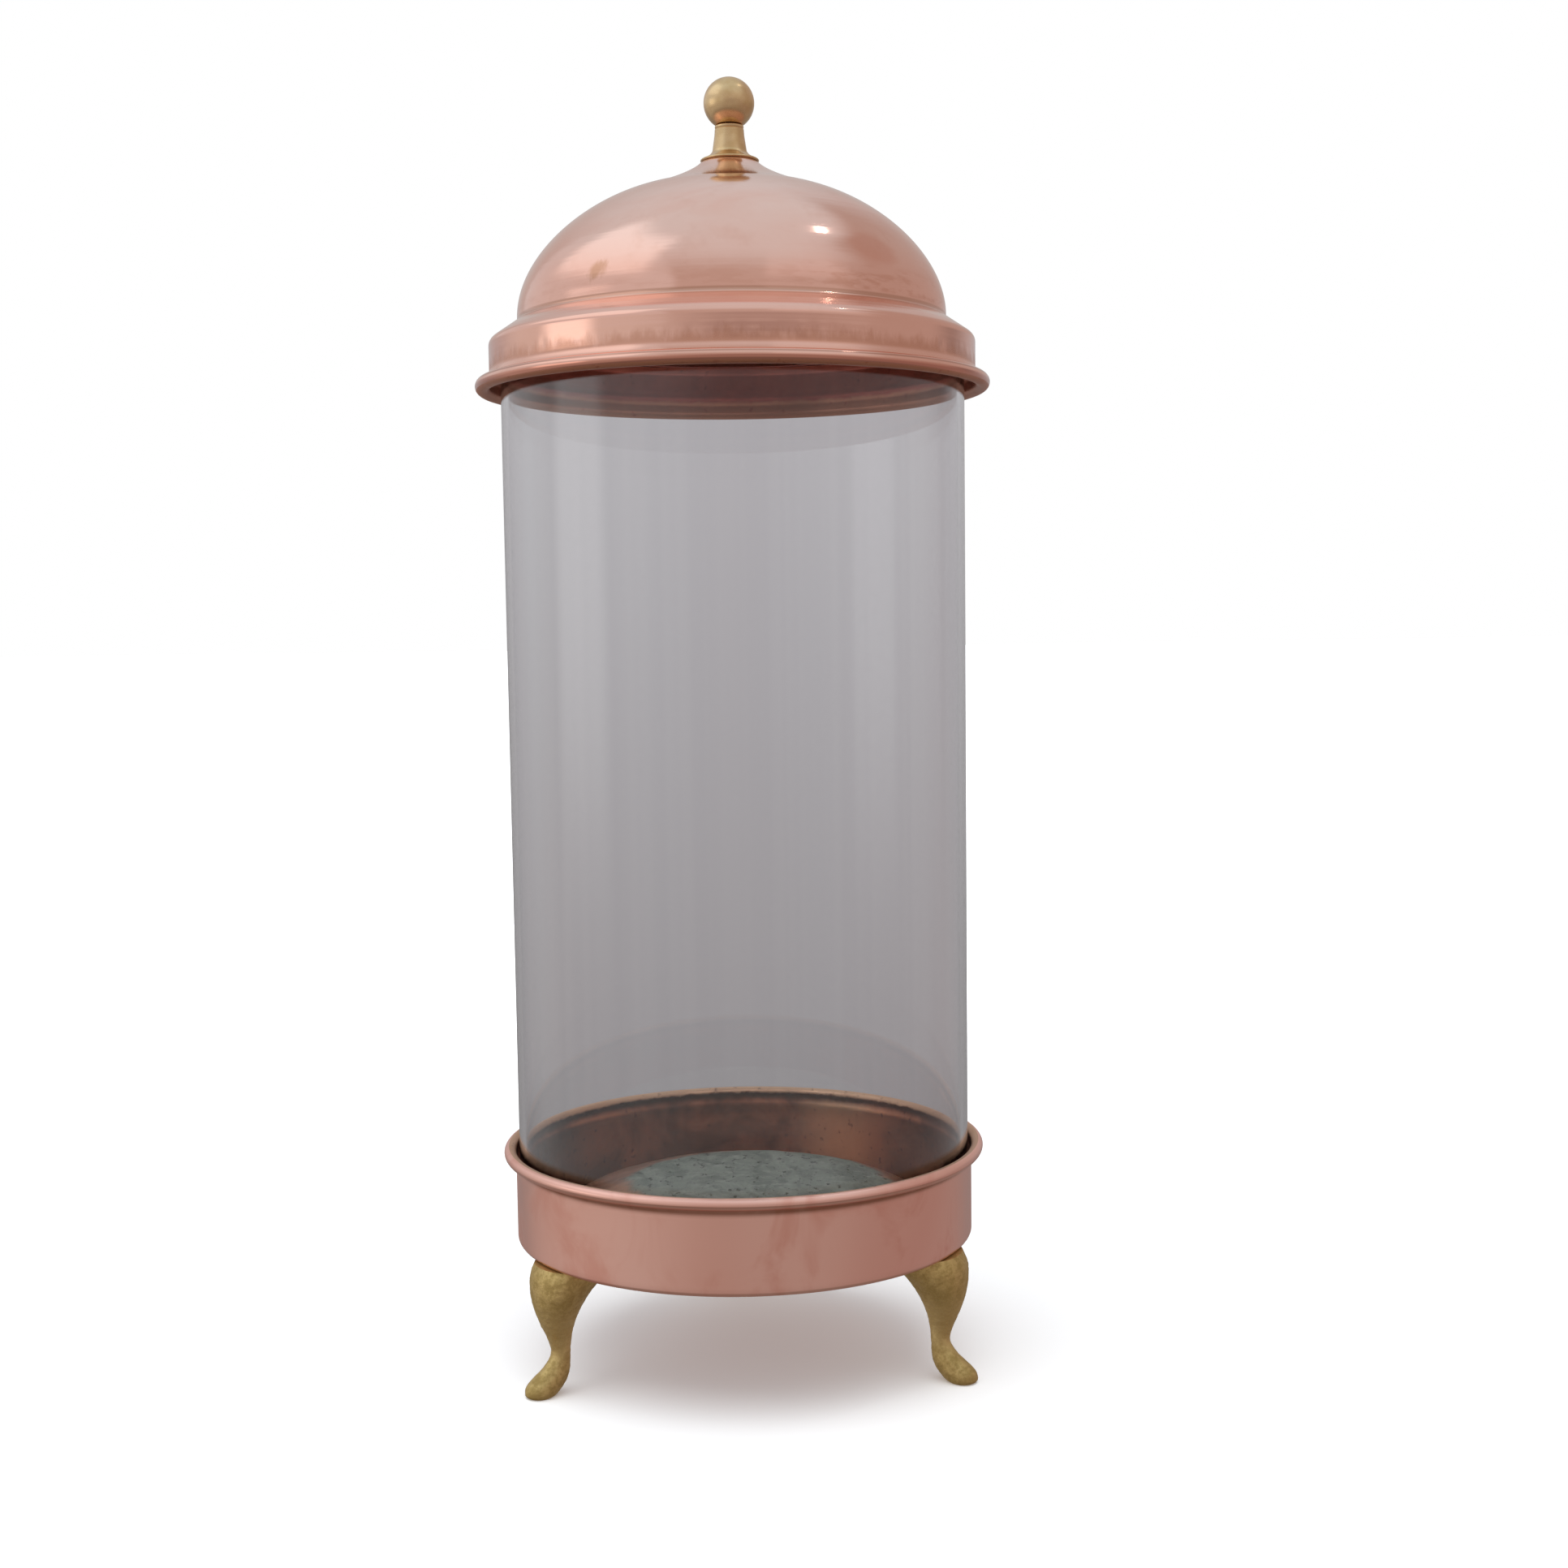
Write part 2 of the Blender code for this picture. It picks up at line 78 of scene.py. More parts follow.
# Lid: heights are above the lip's wire, the ledge's inner end or the dome's foot, and a pull is the length
# of a curve's handle
LIP_FLARE = 0.9 * MM
LIP_FLARE_FOOT = 2.6 * MM
LIP_FLARE_TOP = 7 * MM
LIP_FLARE_BEND = 1.8 * MM
SHOULDER_CORNER = 3 * MM
LEDGE_ANGLE = math.radians(34)
LEDGE_INNER_RADIUS = 93.5 * MM
SKIRT_HEIGHT = 17 * MM
FILLET_RISE = 0.9 * MM
FILLET_END_RISE = 0.2 * MM
FILLET_END_RUN = 0.3 * MM
DOME_RADIUS = 92.3 * MM
DOME_RISE = 66.3 * MM
DOME_TURN_RADIUS = 38 * MM
DOME_TURN_RISE = 54 * MM
DOME_TURN_SLOPE = 0.26
CROWN_RADIUS = 12.2 * MM
CROWN_SLOPE = 1.1
CROWN_PULL = 5.5 * MM
HOLLOW_PULL = 8.5 * MM
SHOULDER_PULL = 28 * MM
FOOT_PULL = 24 * MM

# Finial: the collar's points are how far out from the neck's top radius and how far below its top, in mm
FLANGE_HEIGHT = 1.1 * MM
FLANGE_EDGE_RADIUS = 0.45 * MM
FLANGE_EDGE_HEIGHT = 0.55 * MM
FLANGE_FOOT_INSET = 0.4 * MM
FLANGE_TOP_INSET = 0.5 * MM
NECK_FOOT_RADIUS = 7.3 * MM
NECK_TOP_RADIUS = 6.2 * MM
NECK_SHAFT_WIDER = 0.2 * MM
NECK_FLARE_HEIGHT = 4 * MM
NECK_FLARE_PULLS = ((2.5 * MM, 0.8 * MM), (0.2 * MM, 2.2 * MM))
NECK_SHAFT_DROP = 4 * MM
NECK_COLLAR = ((0.05, 1.6), (-0.25, 1.3), (-0.1, 1.0), (0.0, 0.7), (0.0, 0.2), (-0.2, 0.0))
BALL_SEAT_INSET = 0.3 * MM

# Glass
GLASS_WALL = 3 * MM
GROUND_EDGE = 0.5 * MM

# Tray and floor plate: heights are above the tray's underside
TRAY_CORNER = 1.5 * MM
TRAY_WALL_HEIGHT = 34.5 * MM
TRAY_FLARE = 0.9 * MM
TRAY_FLARE_TOP = 38 * MM
TRAY_FLARE_START_PULL = 1 * MM
TRAY_FLARE_END_PULL = 1.5 * MM
PLATE_POWER = 4                   # the plate falls away from its middle as this power of the radius

# How far the surfaces are off true
LID_WAVE = 0.10 * MM
LID_WAVE_FADE = 10 * MM
TRAY_WAVE = 0.08 * MM
GLASS_WAVE = 0.04 * MM
PLATE_RIPPLE = 0.45 * MM
PLATE_SINK = 0.3 * MM             # keeps the ripples' tops inside the plate's box

# Places, from the frame
TRAY_LOW, TRAY_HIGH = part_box("tray_shell")
LID_LOW, LID_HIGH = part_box("lid_shell")
GLASS_LOW, GLASS_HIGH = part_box("glass_cylinder")
PLATE_LOW, PLATE_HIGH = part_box("floor_plate")
NECK_LOW, NECK_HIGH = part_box("finial_neck")
BALL_LOW, BALL_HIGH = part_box("finial_ball")
STUD_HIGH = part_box("finial_stud")[1]
CROWN_HEIGHT = LID_HIGH.z
DOME_FOOT = CROWN_HEIGHT - DOME_RISE
LIP_HEIGHT = LID_LOW.z + LID_WIRE_RADIUS + GAP + SHEET
LEG_TURNS = {"leg_rear": 90, "leg_front_left": 210, "leg_front_right": 330}

# Where the finishes change
LEDGE_HEIGHT = DOME_FOOT - 4.2 * MM
DOME_CREASE_HEIGHT = DOME_FOOT - 0.9 * MM
LIP_SEAM_HEIGHT = LIP_HEIGHT + 1.8 * MM
TRAY_SEAM_HEIGHT = TRAY_HIGH.z - 3.1 * MM
STAIN_PLACE = (-56 * MM, -71 * MM, 466.5 * MM)
SMEAR_PLACE = (53 * MM, -71 * MM, 476 * MM)
# Painted light: where the reflection on the tray's back wall is centred, and the height at which the legs
# are painted lighter
SHEEN_ACROSS = 51 * MM
CALF_HEIGHT = 26 * MM
PATCH_RADIUS = 60 * MM
PATCH_OFF = (7 * MM, -2 * MM)

# The room that the copper and glass reflect: its colours
WALL_FAR_LOW = (0.272, 0.260, 0.260)
WALL_FAR_HIGH = (0.548, 0.535, 0.548)
WALL_LEFT = (0.69, 0.71, 0.705)
WALL_NEAR = (0.42, 0.375, 0.365)
WALL_RIGHT = (0.50, 0.445, 0.425)
CORNER_RIGHT = (0.31, 0.265, 0.255)
LOW_LEFT = (0.52, 0.50, 0.485)
LOW_NEAR = (0.44, 0.395, 0.375)
LOW_RIGHT = (0.38, 0.305, 0.29)
PANE_LEFT = (0.70, 0.735, 0.765)
PANE_NEAR = (0.575, 0.55, 0.54)
PANE_RIGHT = (0.69, 0.675, 0.68)
CEILING = (0.71, 0.80, 0.86)
GROUND = (0.24, 0.21, 0.19)

# Camera: its place in metres from the jar's axis and above the tray's underside, its turns in degrees, and
# its lens and sensor in millimetres
CAMERA_AWAY = 0.9239
CAMERA_ABOVE = 0.26724
CAMERA_ROUND = -2.4               # how far it is carried round the jar
CAMERA_PITCH = 5.458
CAMERA_YAW = 1.219
CAMERA_ROLL = -0.729
CAMERA_SENSOR = 36.0
CAMERA_LENS = 48.14
CAMERA_SHIFT = 0.030

LIGHT_AWAY = 1.9                  # metres from the middle of the jar


# ---------------------------------------------------------------- profiles

def arc(centre, radius, start, end, steps):
    """Points on a circle in the (radius, height) plane, angles in degrees."""
    angles = [math.radians(start + (end - start) * i / steps) for i in range(steps + 1)]
    return [(centre[0] + radius * math.cos(a), centre[1] + radius * math.sin(a)) for a in angles]


def bezier(p0, p1, p2, p3, steps):
    """Points on a cubic curve, ends included."""
    points = []
    for i in range(steps + 1):
        t = i / steps
        weights = ((1 - t) ** 3, 3 * t * (1 - t) ** 2, 3 * t * t * (1 - t), t ** 3)
        points.append(tuple(sum(w * p[k] for w, p in zip(weights, (p0, p1, p2, p3))) for k in (0, 1)))
    return points


def straight(start, end, steps):
    """Points on a line, the start left out."""
    return [(start[0] + (end[0] - start[0]) * i / steps, start[1] + (end[1] - start[1]) * i / steps)
            for i in range(1, steps + 1)]


def normals_of(line):
    """The mitred left-hand normal at each point of an open line, longer at a corner."""
    normals = []
    for i, point in enumerate(line):
        here = Vector(point)
        into = (here - Vector(line[i - 1])).normalized() if i > 0 else None
        out = (Vector(line[i + 1]) - here).normalized() if i < len(line) - 1 else None
        into, out = into or out, out or into
        normal = Vector((-into.y - out.y, into.x + out.x)).normalized()
        normals.append(normal / normal.dot(Vector((-into.y, into.x))))
    return normals


# ---------------------------------------------------------------- meshes

def finished(name, bm, body, node, materials, sharp_degrees=35):
    """Turns the bmesh into a piece that rides on its body and stands for its CAD node."""
    mesh = bpy.data.meshes.new(name)
    bm.to_mesh(mesh)
    bm.free()
    mesh.shade_smooth()
    mesh.set_sharp_from_angle(angle=math.radians(sharp_degrees))
    for mat in materials:
        mesh.materials.append(mat)
    obj = bpy.data.objects.new(name, mesh)
    bpy.context.scene.collection.objects.link(obj)
    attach(obj, body)
    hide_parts(node)
    return obj


def turn_rings(bm, rings, around, closed):
    """Faces between neighbouring rings; a ring of one vertex is a point on the axis."""
    pairs = list(zip(rings, rings[1:] + rings[:1])) if closed else list(zip(rings, rings[1:]))
    for ring, following in pairs:
        if len(ring) == 1 and len(following) == 1:
            continue
        for k in range(around):
            n = (k + 1) % around
            corners = [ring[k % len(ring)], ring[n % len(ring)],
                       following[n % len(following)], following[k % len(following)]]
            bm.faces.new(list(dict.fromkeys(corners)))


def ring_of(bm, r, z, around, moved=None):
    """One ring of vertices; moved(angle) gives how far each is pushed, as (radius, height)."""
    if r <= 0:
        return [bm.verts.new((0, 0, z))]
    ring = []
    for k in range(around):
        a = 2 * math.pi * k / around
        dr, dz = moved(a) if moved else (0, 0)
        ring.append(bm.verts.new(((r + dr) * math.cos(a), (r + dr) * math.sin(a), z + dz)))
    return ring


def turned(profile, around):
    """A bmesh of a closed profile turned about Z."""
    bm = bmesh.new()
    rings = [ring_of(bm, r, z, around) for r, z in profile]
    turn_rings(bm, rings, around, closed=True)
    bmesh.ops.recalc_face_normals(bm, faces=bm.faces)
    return bm


def turned_sheet(line, around, dents, dull_points, outside_left=True):
    """A bmesh of sheet turned about Z from its middle line.

    dents(distance along the line, angle) is how far the whole sheet is pushed along its normal.
    The inner side takes material 1 along the line's first dull_points points; past them it is
    curled outwards round the wire, and is finished as the outer side is.
    """
    bm = bmesh.new()
    normals = normals_of(line)
    along = [0.0]
    for a, b in zip(line, line[1:]):
        along.append(along[-1] + (Vector(b) - Vector(a)).length)
    sides = []
    for side in (1, -1):
        rings = []
        for (r, z), normal, s in zip(line, normals, along):
            unit = normal.normalized()

            def moved(a, unit=unit, s=s):
                dent = dents(s, a)
                return unit.x * dent, unit.y * dent

            if r <= 0:
                rings.append([bm.verts.new((0, 0, z + side * SHEET / 2 * unit.y))])
            else:
                shift = normal * (side * SHEET / 2)
                rings.append(ring_of(bm, r + shift.x, z + shift.y, around, moved))
        sides.append(rings)
    left, right = sides
    turn_rings(bm, left + right[::-1], around, closed=len(left[0]) > 1)
    inner = right if outside_left else left
    inner_verts = set(v for ring in inner[:dull_points] for v in ring)
    for face in bm.faces:
        face.material_index = 1 if all(v in inner_verts for v in face.verts) else 0
    bmesh.ops.recalc_face_normals(bm, faces=bm.faces)
    return bm


# ---------------------------------------------------------------- materials

class Nodes:
    """A node tree, and the shorthands that the finishes and the room share."""

    def __init__(self, tree):
        self.tree = tree

    def give(self, socket, value):
        """Links a socket to another one, or sets its value."""
        if isinstance(value, bpy.types.NodeSocket):
            self.tree.links.new(value, socket)
        else:
            socket.default_value = value

    def fill(self, node, sockets):
        """Links or sets sockets by name; an underscore stands for a space."""
        for name, value in sockets.items():
            self.give(node.inputs[name.replace("_", " ")], value)

    def node(self, kind, settings=None, **sockets):
        """A new node with its settings and sockets."""
        node = self.tree.nodes.new(kind)
        for name, value in (settings or {}).items():
            setattr(node, name, value)
        self.fill(node, sockets)
        return node

    def math(self, operation, *values):
        """What a Math node makes of one or two values."""
        node = self.node("ShaderNodeMath", {"operation": operation})
        for socket, value in zip(node.inputs, values):
            self.give(socket, value)
        return node.outputs[0]

    def plus(self, a, b):
        return self.math("ADD", a, b)

    def times(self, a, b):
        return self.math("MULTIPLY", a, b)

    def off(self, value, middle):
        """How far a value is from a middle one."""
        return self.math("ABSOLUTE", self.math("SUBTRACT", value, middle))

    def swing(self, share, width):
        """A share of 0 to 1, made to swing about 0 over a width."""
        return self.times(self.math("SUBTRACT", share, 0.5), width)

    def range(self, value, start, end, to_start, to_end):
        """The value's stretch from start to end, mapped smoothly onto another range."""
        return self.node("ShaderNodeMapRange", {"interpolation_type": "SMOOTHSTEP"}, Value=value,
                         From_Min=start, From_Max=end, To_Min=to_start, To_Max=to_end).outputs["Result"]

    def rising(self, value, start, end, most=1.0):
        """0 before the start, and from there smoothly to the most at the end."""
        return self.range(value, start, end, 0.0, most)

    def falling(self, value, start, end, most=1.0):
        """The most before the start, and from there smoothly to 0 at the end."""
        return self.range(value, start, end, most, 0.0)

    def mix(self, share, a, b):
        """Colours a and b mixed by a share."""
        node = self.node("ShaderNodeMix", {"data_type": "RGBA"})
        for socket, value in zip((node.inputs[0], node.inputs[6], node.inputs[7]), (share, a, b)):
            self.give(socket, (*value, 1.0) if isinstance(value, tuple) else value)
        return node.outputs[2]


class Finish(Nodes):
    """A Principled material, laid out over the piece's own coordinates."""

    def __init__(self, name, **sockets):
        self.mat = bpy.data.materials.new(name)
        self.mat.use_nodes = True
        super().__init__(self.mat.node_tree)
        self.shader = self.tree.nodes["Principled BSDF"]
        self.set(**sockets)
        self.place = self.node("ShaderNodeTexCoord").outputs["Object"]
        parts = self.node("ShaderNodeSeparateXYZ", Vector=self.place).outputs
        self.x, self.y, self.z = parts["X"], parts["Y"], parts["Z"]

    def set(self, **sockets):
        """Sets or links the shader's sockets."""
        self.fill(self.shader, sockets)

    def noise(self, scale, detail=3.0, roughness=0.5, stretch=None, distortion=0.0):
        """Noise in 0 to 1 at the piece's own coordinates, or at a stretched copy of them."""
        place = self.place
        if stretch:
            place = self.node("ShaderNodeMapping", Vector=place, Scale=stretch).outputs["Vector"]
        return self.node("ShaderNodeTexNoise", Vector=place, Scale=scale, Detail=detail,
                         Roughness=roughness, Distortion=distortion).outputs["Fac"]

    def lines(self, coordinate, scale, detail=2.0):
        """Noise along one coordinate: the marks of a tool that ran round the piece."""
        return self.node("ShaderNodeTexNoise", {"noise_dimensions": "1D"}, W=coordinate, Scale=scale,
                         Detail=detail, Roughness=0.6).outputs["Fac"]

    def bump(self, *layers):
        """Stacked bumps, each (height, distance in metres, strength)."""
        below = None
        for height, distance, strength in layers:
            node = self.node("ShaderNodeBump", Height=height, Distance=distance, Strength=strength)
            if below:
                self.give(node.inputs["Normal"], below)
            below = node.outputs["Normal"]
        self.set(Normal=below)

    def distance(self, place):
        """How far a point is from a place, in metres."""
        node = self.node("ShaderNodeVectorMath", {"operation": "DISTANCE"})
        self.give(node.inputs[0], self.place)
        self.give(node.inputs[1], place)
        return node.outputs["Value"]

    def radius(self, middle=(0.0, 0.0)):
        """How far a point is from an upright line through the middle."""
        x = self.math("SUBTRACT", self.x, middle[0])
        y = self.math("SUBTRACT", self.y, middle[1])
        return self.math("SQRT", self.plus(self.times(x, x), self.times(y, y)))

    def turn(self):
        """The angle about the jar's axis, in radians."""
        return self.math("ARCTAN2", self.y, self.x)

    def latitude(self, below):
        """The angle from the axis, seen from a point on it at the height below."""
        return self.math("ARCTAN2", self.radius(), self.math("SUBTRACT", self.z, below))

    def brushed_round(self, amount):
        """Highlights drawn out across marks that run round the axis."""
        tangent = self.node("ShaderNodeTangent", {"direction_type": "RADIAL", "axis": "Z"})
        self.set(Anisotropic=amount, Tangent=tangent.outputs["Tangent"])


def polished_copper():
    """Outside of the lid: spun and polished, with turning lines, dull clouds, a browned skirt foot, and a
    painted reflection that makes it paler towards its top.
    """
    f = Finish("lid_copper", Metallic=1.0, IOR=1.5)
    down_dome = f.latitude(DOME_FOOT - 45 * MM)
    rings = f.lines(down_dome, 420.0)
    broad = f.lines(down_dome, 38.0, 1.0)
    clouds = f.noise(16.0, 4.0, 0.55, stretch=(1.0, 1.0, 2.2), distortion=0.4)
    grease = f.noise(60.0, 5.0, 0.65)
    streaks = f.noise(150.0, 4.0, 0.7, stretch=(1.0, 1.0, 0.35))
    # Paler and less red up the dome, darker and redder at its foot: painted reflection of the bright
    # ceiling.
    sheen_up_dome = f.rising(f.z, DOME_FOOT - 4 * MM, DOME_FOOT + 45 * MM)
    colour = f.mix(sheen_up_dome, (0.88, 0.50, 0.395), (0.90, 0.60, 0.505))
    colour = f.mix(f.rising(clouds, 0.35, 0.7, 0.7), colour, (0.86, 0.475, 0.37))
    colour = f.mix(f.times(f.rising(grease, 0.52, 0.72), 0.35), colour, (0.80, 0.44, 0.335))
    colour = lid_grooves(f, colour)
    ragged_height = f.plus(f.z, f.swing(streaks, 14 * MM))
    browned = f.times(f.falling(ragged_height, LIP_HEIGHT + 6.5 * MM, LIP_HEIGHT + 12.5 * MM, 0.7),
                      f.rising(f.z, LIP_HEIGHT + 5.0 * MM, LIP_HEIGHT + 6.6 * MM))
    colour = f.mix(browned, colour, (0.62, 0.29, 0.19))
    f.set(Base_Color=lid_marks(f, colour, streaks, clouds))
    rough = f.plus(f.range(clouds, 0.3, 0.75, 0.085, 0.15), f.range(rings, 0.3, 0.7, -0.015, 0.025))
    f.set(Roughness=f.plus(rough, f.times(browned, 0.2)))
    f.bump((rings, 0.02 * MM, 0.35), (broad, 0.4 * MM, 0.10), (grease, 0.1 * MM, 0.05))
    f.brushed_round(0.35)
    return f.mat


def lid_grooves(f, colour):
    """Painted highlight and shade: a paler ledge, and dark painted shade in the crease under the dome, where
    the lip's flare meets its bead, and under the bead.
    """
    # A paler band along the ledge: painted highlight.
    ledge = f.falling(f.off(f.z, LEDGE_HEIGHT), 1.9 * MM, 2.8 * MM, 0.5)
    colour = f.mix(ledge, colour, (0.91, 0.68, 0.58))
    # A dark line in the crease at the dome's foot: painted shade.
    crease = f.falling(f.off(f.z, DOME_CREASE_HEIGHT), 0.5 * MM, 1.3 * MM, 0.75)
    colour = f.mix(crease, colour, (0.56, 0.29, 0.20))
    # A dark line where the lip's flare meets its bead: painted shade in that crease.
    seam_shade = f.falling(f.off(f.z, LIP_SEAM_HEIGHT), 0.1 * MM, 0.6 * MM, 0.75)
    colour = f.mix(seam_shade, colour, (0.50, 0.24, 0.17))
    # Browner and darker on the bead's underside: painted shade.
    under_bead_shade = f.falling(f.z, LIP_HEIGHT - 0.2 * MM, LIP_HEIGHT + 0.8 * MM)
    return f.mix(under_bead_shade, colour, (0.67, 0.30, 0.22))


def lid_marks(f, colour, streaks, clouds):
    """A stain on the dome's left, a smear on its right, and marks along its foot, mostly on the right."""
    reach = f.plus(f.distance(STAIN_PLACE), f.swing(streaks, 9 * MM))
    colour = f.mix(f.falling(reach, 2.6 * MM, 5.6 * MM, 0.9), colour, (0.64, 0.335, 0.215))
    reach = f.plus(f.distance(SMEAR_PLACE), f.swing(clouds, 50 * MM))
    colour = f.mix(f.falling(reach, 4 * MM, 12.5 * MM, 0.55), colour, (0.78, 0.37, 0.27))
    marks = f.rising(f.noise(60.0, 4.0, 0.6, stretch=(1.0, 1.0, 4.0)), 0.46, 0.62, 0.6)
    low = f.times(f.rising(f.z, DOME_FOOT - 0.2 * MM, DOME_FOOT + 1.5 * MM),
                  f.falling(f.z, DOME_FOOT + 3 * MM, DOME_FOOT + 14 * MM))
    right = f.range(f.x, 10 * MM, 50 * MM, 0.3, 1.0)
    return f.mix(f.times(f.times(low, right), marks), colour, (0.68, 0.32, 0.22))


def dull_copper(name, base, tarnish, dark, edge, edge_start, edge_end, crown=None, painted_sheen=None):
    """Inner sides of the copper: never polished, browned, with clouds and drips, painted shade next to the
    rolled edge, and paler at the edge itself.

    edge_start and edge_end are the heights between which the edge's colour takes over.
    crown is the colour high inside the lid, and the heights between which that takes over.
    The last, when given, is the colour of a painted reflection of light: a paler stretch of the back wall,
    right of its middle.
    """
    f = Finish(name, Metallic=1.0, IOR=1.5)
    clouds = f.noise(22.0, 5.0, 0.6, distortion=0.6)
    drips = f.noise(30.0, 3.0, 0.5, stretch=(1.0, 1.0, 0.15))
    specks = f.noise(260.0, 3.0, 0.6)
    colour = f.mix(f.rising(clouds, 0.35, 0.68), base, tarnish)
    colour = f.mix(f.times(f.rising(drips, 0.5, 0.75), 0.6), colour, dark)
    colour = f.mix(f.rising(specks, 0.62, 0.78, 0.55), colour, dark)
    if crown:
        tone, start, end = crown
        colour = f.mix(f.rising(f.z, start, end, 0.9), colour, tone)
    # A paler stretch of the back wall: painted reflection of light.
    if painted_sheen:
        across = f.falling(f.off(f.x, SHEEN_ACROSS), 4 * MM, 26 * MM, 0.75)
        colour = f.mix(f.times(across, f.rising(f.y, 40 * MM, 70 * MM)), colour, painted_sheen)
    ragged_edge_height = f.plus(f.z, f.swing(f.noise(140.0, 4.0, 0.7), 2.8 * MM))
    band = edge_start - edge_end
    # A darker band on the inside next to the rolled edge: painted shade.
    edge_shade = f.rising(ragged_edge_height, edge_start + 3.5 * band, edge_start + 0.4 * band, 0.95)
    colour = f.mix(edge_shade, colour, dark)
    colour = f.mix(f.rising(ragged_edge_height, edge_start, edge_end), colour, edge)
    colour = f.mix(f.rising(specks, 0.60, 0.72, 0.5), colour, dark)
    f.set(Base_Color=colour, Roughness=f.range(clouds, 0.3, 0.7, 0.34, 0.5))
    f.bump((clouds, 0.4 * MM, 0.2), (specks, 0.06 * MM, 0.25))
    return f.mat


def lid_inside_copper():
    """Inside of the lid, paler and browner up in its crown."""
    return dull_copper("lid_inside_copper", base=(0.80, 0.245, 0.18), tarnish=(0.66, 0.19, 0.145),
                       dark=(0.44, 0.11, 0.085), edge=(0.64, 0.29, 0.185),
                       edge_start=LIP_HEIGHT + 5.5 * MM, edge_end=LIP_HEIGHT + 3.5 * MM,
                       crown=((0.62, 0.36, 0.265), DOME_FOOT + 3 * MM, DOME_FOOT + 16 * MM))


def tray_inside_copper():
    """Inside of the tray, darker than the lid's, with a paler stretch at the back that is a painted
    reflection of light.
    """
    return dull_copper("tray_inside_copper", base=(0.50, 0.185, 0.092), tarnish=(0.19, 0.064, 0.036),
                       dark=(0.10, 0.037, 0.027), edge=(0.62, 0.37, 0.23),
                       edge_start=TRAY_HIGH.z - 2.8 * MM, edge_end=TRAY_HIGH.z - 1.4 * MM,
                       painted_sheen=(0.80, 0.45, 0.255))


def satin_copper():
    """Outside of the tray: satin, with soft blotches, faint turning lines, and painted shade: a dark band
    under its edge and a dark line along its bead.
    """
    f = Finish("tray_copper", Metallic=1.0, IOR=1.5)
    rings = f.lines(f.z, 2600.0)
    blotch = f.noise(26.0, 4.0, 0.6, stretch=(1.0, 1.0, 0.8), distortion=0.9)
    large = f.noise(9.0, 2.0, 0.5, distortion=0.5)
    specks = f.noise(420.0, 2.0, 0.6)
    colour = f.mix(f.rising(large, 0.38, 0.62), (0.92, 0.515, 0.42), (0.95, 0.56, 0.465))
    colour = f.mix(f.rising(blotch, 0.48, 0.68, 0.85), colour, (0.84, 0.41, 0.32))
    # A dark band under the rolled edge: painted shadow of the bead.
    band = f.times(f.rising(f.z, TRAY_HIGH.z - 8.6 * MM, TRAY_HIGH.z - 6.6 * MM),
                   f.falling(f.z, TRAY_HIGH.z - 5.0 * MM, TRAY_HIGH.z - 4.4 * MM))
    colour = f.mix(f.times(band, f.range(blotch, 0.3, 0.6, 0.5, 0.8)), colour, (0.42, 0.17, 0.10))
    # A thin dark line along the bead: painted shade of a groove.
    seam_shade = f.falling(f.off(f.z, TRAY_SEAM_HEIGHT), 0.1 * MM, 0.4 * MM, 0.5)
    f.set(Base_Color=f.mix(seam_shade, colour, (0.55, 0.25, 0.17)))
    f.set(Roughness=f.plus(f.range(blotch, 0.35, 0.7, 0.30, 0.40), f.range(rings, 0.3, 0.7, -0.02, 0.03)))
    f.bump((rings, 0.03 * MM, 0.3), (blotch, 0.5 * MM, 0.12), (specks, 0.03 * MM, 0.2))
    f.brushed_round(0.3)
    return f.mat


def patina():
    """Floor plate: grey-green over the crown of the plate, worn to browned copper round it."""
    f = Finish("verdigris", IOR=1.5)
    ragged = f.noise(34.0, 5.0, 0.65, distortion=0.8)
    grain = f.noise(210.0, 4.0, 0.65)
    specks = f.noise(300.0, 3.0, 0.7, stretch=(1.0, 0.5, 1.0))
    ripple = f.noise(85.0, 4.0, 0.6, stretch=(1.0, 0.55, 1.0), distortion=0.9)
    reach = f.plus(f.radius(PATCH_OFF), f.swing(ragged, 22 * MM))
    worn = f.rising(reach, PATCH_RADIUS - 3.5 * MM, PATCH_RADIUS + 2.5 * MM)
    green = f.mix(f.rising(ripple, 0.35, 0.68), (0.185, 0.228, 0.186), (0.338, 0.38, 0.324))
    green = f.mix(f.rising(grain, 0.5, 0.72, 0.8), green, (0.43, 0.46, 0.405))
    green = f.mix(f.rising(specks, 0.565, 0.68, 0.9), green, (0.04, 0.052, 0.042))
    brown = f.mix(f.rising(ragged, 0.35, 0.65), (0.30, 0.165, 0.115), (0.50, 0.29, 0.20))
    f.set(Base_Color=f.mix(worn, green, brown))
    f.set(Metallic=f.range(worn, 0.0, 1.0, 0.15, 0.95), Roughness=f.range(worn, 0.0, 1.0, 0.58, 0.40))
    f.bump((ripple, 1.6 * MM, 0.55), (grain, 0.4 * MM, 0.5), (specks, 0.2 * MM, 0.4))
    return f.mat


def turned_brass():
    """Knob and neck: turned and left satin, browned in the grooves."""
    f = Finish("turned_brass", Metallic=1.0, IOR=1.5)
    rings = f.lines(f.z, 3800.0)
    clouds = f.noise(90.0, 4.0, 0.6)
    colour = f.mix(f.rising(clouds, 0.4, 0.7), (0.77, 0.535, 0.295), (0.66, 0.43, 0.205))
    f.set(Base_Color=f.mix(f.rising(rings, 0.62, 0.8, 0.5), colour, (0.46, 0.28, 0.09)))
    f.set(Roughness=f.range(clouds, 0.3, 0.7, 0.22, 0.34))
    f.bump((rings, 0.02 * MM, 0.3), (clouds, 0.1 * MM, 0.08))
    f.brushed_round(0.4)
    return f.mat


